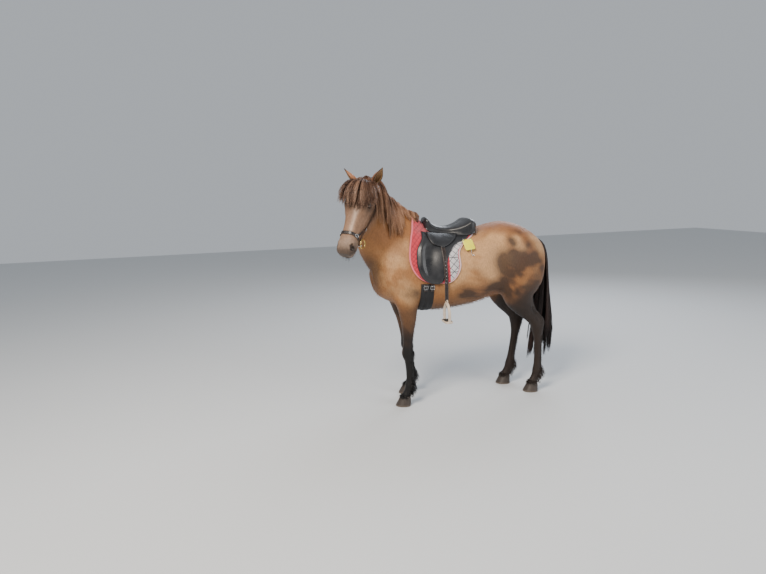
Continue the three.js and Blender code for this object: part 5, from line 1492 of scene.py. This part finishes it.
# Stirrup leathers: doubled straps that come from under the skirts, lie on the flaps and hang straight,
# with punched holes, each through the eye of a stirrup.
STIRRUP_X = 122
STIRRUP = {"top": 838, "bottom": 668, "wide": 132, "arm": 13, "deep": 20, "tread": 58}
LEATHER = {"wide": 28, "thick": 4, "top": 1262, "turn": 1000, "out": PAD_THICK + FLAP_THICK + 2}
leather_at = {}
for side, sign in (("left", 1), ("right", -1)):
    heights = np.arange(LEATHER["top"], LEATHER["turn"] - 1, -8.0)
    path = down_the_side(STIRRUP_X, heights, sign, LEATHER["out"] + 1.2)
    widest = np.abs(path[:, 1]).max() + 0.8
    for _ in range(3):
        path[1:-1, 1] = 0.5 * path[1:-1, 1] + 0.25 * (path[2:, 1] + path[:-2, 1])
    falling = np.array([[STIRRUP_X, sign * widest, z] for z in np.arange(990, STIRRUP["top"] - 14, -8.0)])
    path = np.concatenate([path, falling])
    outs = np.tile([0.0, float(sign), 0.0], (len(path), 1))
    strap("stirrup_strap_" + side, path, outs, LEATHER["wide"], LEATHER["thick"] - 0.6, strap_finish,
          "leather", ["stirrup_leather_" + side])
    under = path[path[:, 2] < 1190] - np.array([0, sign * 2.6, 0])
    strap("stirrup_strap_back_" + side, under, outs[:len(under)], LEATHER["wide"] - 1.5, 2.4, strap_finish,
          "leather")
    for k in range(7):
        z = 1120 - 26 * k
        y = np.interp(-z, -path[:, 2], path[:, 1]) + sign * (LEATHER["thick"] - 0.3)
        wire(f"hole_{side}_{k}", hoop((STIRRUP_X, y, z), (1, 0, 0), (0, 0, 1), 2.6, 2.6, steps=14), 0.9,
             steel_finish, "leather", sides=6)
    leather_at[side] = sign * (widest + LEATHER["thick"] / 2 - 0.8)

# Stirrups: an arch moulded in pale glass-filled nylon, with an eye for the leather above and a broad
# tread of ribbed dark rubber below.
nylon_finish, tree = new_material("Moulded_nylon")
place = object_place(tree)
scuff = noise(tree, place, 26.0, 6.0)
surface(tree, (noise(tree, place, 320.0, 3.0), 0.2, 0.0006),
        Base_Color=blend(tree, scuff, "#b7a28d", "#dccdbb"), Roughness=span(tree, scuff, 0.38, 0.6))
rubber_finish, tree = new_material("Ribbed_rubber")
spot = noise(tree, object_place(tree), 120.0, 4.0)
surface(tree, (spot, 0.3, 0.0008), Base_Color=blend(tree, spot, "#1d1d1e", "#3c3b39"), Roughness=0.8)
for side, sign in (("left", 1), ("right", -1)):
    y = leather_at[side]
    half, low = STIRRUP["wide"] / 2 - STIRRUP["arm"] / 2, STIRRUP["bottom"] + 6
    rising = [(-half * 0.94, low), (-half, low + 42), (-half * 0.92, (low + STIRRUP["top"]) / 2),
              (-half * 0.52, STIRRUP["top"] - 40), (0, STIRRUP["top"] - 26)]
    arch = rising + [(-a, b) for a, b in rising[-2::-1]]
    path = spread_along([(STIRRUP_X, y + a, b) for a, b in arch], 6)
    outs = path - np.array([STIRRUP_X, y, low + 62])
    strap("stirrup_arch_" + side, path, outs, STIRRUP["deep"], STIRRUP["arm"], nylon_finish, "stirrup",
          ["stirrup_" + side], base_lift=-STIRRUP["arm"] / 2)
    eye_ring = hoop((STIRRUP_X, y, STIRRUP["top"] - 13), (0, 1, 0), (0, 0, 1), 18, 9.5, 5)
    wire("stirrup_eye_" + side, eye_ring, 4.2, nylon_finish, "stirrup", sides=12)
    plate_ring = []
    for z, inset in ((668, 2.5), (669.5, 0.6), (672, 0), (679, 0), (681, 0.8), (682.5, 2.6)):
        plate_ring.append(hoop((STIRRUP_X, y, z), (1, 0, 0), (0, 1, 0), STIRRUP["tread"] / 2 - inset,
                               STIRRUP["wide"] / 2 - 3 - inset, 5, 60))
    joined_up("stirrup_plate_" + side, *lofted(plate_ring), nylon_finish, "stirrup")
    for k in range(6):
        x = STIRRUP_X + (k - 2.5) * 8.6
        rib = [hoop((x, y, z), (1, 0, 0), (0, 1, 0), 3.1 - inset, STIRRUP["wide"] / 2 - 16 - inset, 6, 28)
               for z, inset in ((681, 0), (684.2, 0), (685.4, 1.0))]
        joined_up(f"tread_rib_{side}_{k}", *lofted(rib), rubber_finish, "stirrup")

# Number plate: a bare sheet of yellow acrylic with round corners, which hangs from a steel ring and
# two eyelets behind the seat, with a small hook below it.
plate_finish, tree = new_material("Yellow_acrylic")
haze = noise(tree, object_place(tree), 30.0, 5.0)
surface(tree, (haze, 0.08, 0.001), Base_Color=blend(tree, haze, "#ddd41a", "#ece540"),
        Roughness=span(tree, haze, 0.25, 0.5))
PLATE = {"x": -84, "z": 1232, "wide": 77, "tall": 101, "tilt": -7}
c, s = math.cos(math.radians(PLATE["tilt"])), math.sin(math.radians(PLATE["tilt"]))
corners = []
for a, b in ((-1, -1), (1, -1), (1, 1), (-1, 1)):
    u, v = a * PLATE["wide"] / 2, b * PLATE["tall"] * 0.72 / 2
    corners.append([PLATE["x"] + u * c - v * s, 470, PLATE["z"] + u * s + v * c])
corners = shots(corners, np.tile([0.0, -1.0, 0.0], (4, 1)), PAD_THICK + FLAP_THICK + 2.4, 30)
middle = corners.mean(0)
along = (corners[1] - corners[0] + corners[2] - corners[3]) / 2
rise = (corners[3] - corners[0] + corners[2] - corners[1]) / 2
half_along, half_rise = np.linalg.norm(along) / 2, np.linalg.norm(rise) / 2
along, rise = along / (2 * half_along), rise / (2 * half_rise)
out = np.cross(rise, along)
out *= np.sign(out[1])
rings = [hoop(middle + out * lift, along, rise, half_along - inset, half_rise - inset, 9, 72)
         for lift, inset in ((-1.4, 0.9), (-0.8, 0.1), (0.9, 0.1), (1.6, 0.9))]
joined_up("yellow_plate", *lofted(rings), plate_finish, "plate", ["number_plate"])
corner = middle + rise * (half_rise - 8)
for k, share in enumerate((-0.78, 0.78)):
    hole = corner + along * half_along * share
    wire(f"plate_eyelet_{k}", hoop(hole + out * 1.8, along, rise, 3.4, 3.4, steps=20), 1.2, steel_finish,
         "plate", sides=8)
wire("plate_ring", hoop(hole + rise * 9 + out * 1.5, out, rise, 10, 11, steps=28), 1.6, steel_finish, "plate")
foot = middle - along * half_along * 0.1 - rise * (half_rise - 3) + out * 2.5
hook = [foot, foot - np.array([0, 0, 22]), foot + np.array([-4, 2, -42]), foot + np.array([-14, 3, -50]),
        foot + np.array([-22, 3, -40])]
wire("plate_hook", spread_along(hook, 4), 2.0, steel_finish, "plate", closed=False)

# Tufts of the short coat: where the body turns away from the eye the hair stands off it, as a fringe
# under the jaw, down the chest, along the belly, behind the legs, and long over heels and hooves.
skin_normals = unit(slope(skin_points))
x, z = skin_points[:, 0], skin_points[:, 2]
q = face_place(skin_points)
on_head = (q[:, 0] > 20) & (x > 560) & (z > 1100) & (q[:, 1] > -230)
face_turned, ahead_turned, down_turned = skin_normals @ FACE_OUT, skin_normals[:, 0], -skin_normals[:, 2]
TUFTS = [  # piece, where it grows, number, length, lie, how far it stands off, width
    ("coat_fringe_body", on_head & (q[:, 1] < -70) & (q[:, 0] < 430) & (face_turned < -0.2),
     1700, 17, DOWN_FACE * 0.5 + np.array([0, 0, -0.6]), 0.5, 1.9),
    ("coat_fringe_body", on_head & (q[:, 0] > 500) & (face_turned < -0.3),
     110, 24, DOWN_FACE * 0.6 + np.array([0, 0, -0.3]), 0.9, 1.0),
    ("coat_fringe_body", ~on_head & (x > 400) & (z > 800) & (z < 1330) & (ahead_turned > 0.62),
     1500, 14, np.array([0.1, 0, -1.0]), 0.25, 1.4),
    ("coat_fringe_body", (down_turned > 0.7) & (z > 700) & (x > -360) & (x < 480) & ((x < 180) | (x > 302)),
     2500, 19, np.array([-1.0, 0, -0.45]), 0.4, 1.9),
    ("coat_fringe_legs", (z < 720) & (z > 210) & (ahead_turned < -0.35),
     3400, 17, np.array([-0.25, 0, -1.0]), 0.35, 1.8),
    ("coat_fringe_legs", (z < 215) & (z > 95) & (ahead_turned < -0.1),
     2300, 44, np.array([-0.35, 0, -1.0]), 0.3, 1.9),
    ("coat_fringe_legs", (z < 96) & (z > 70), 2300, 25, np.array([0, 0, -1.0]), 0.42, 1.9),
]
for name in ("coat_fringe_body", "coat_fringe_legs"):
    draw = np.random.default_rng(77)
    made = []
    for _, where, number, length, lie, off, width in (row for row in TUFTS if row[0] == name):
        picked = draw.choice(np.flatnonzero(where), number)
        roots = skin_points[picked] + draw.normal(0, 3, (number, 3))
        roots = onto(roots, -4, 2)
        out = skin_normals[picked]
        heading = unit(lie) + out * off + draw.normal(0, 0.12, (number, 3))
        heading -= out * np.minimum((heading * out).sum(1) - off, 0)[:, None]
        heading = unit(heading)
        long = length * draw.uniform(0.55, 1.1, number)
        steps = np.linspace(0, 1, 4)[None, :, None]
        paths = roots[:, None] + heading[:, None] * steps * long[:, None, None]
        paths = paths + lie * steps**2 * (0.22 * long)[:, None, None]
        shade = coat_colour(roots) * draw.uniform(0.75, 1.2, number)[:, None]
        made.append((paths, width * draw.uniform(0.8, 1.2, number), out, shade, shade * 1.12))
    hair_piece(name, *(np.concatenate(part) for part in zip(*made)))
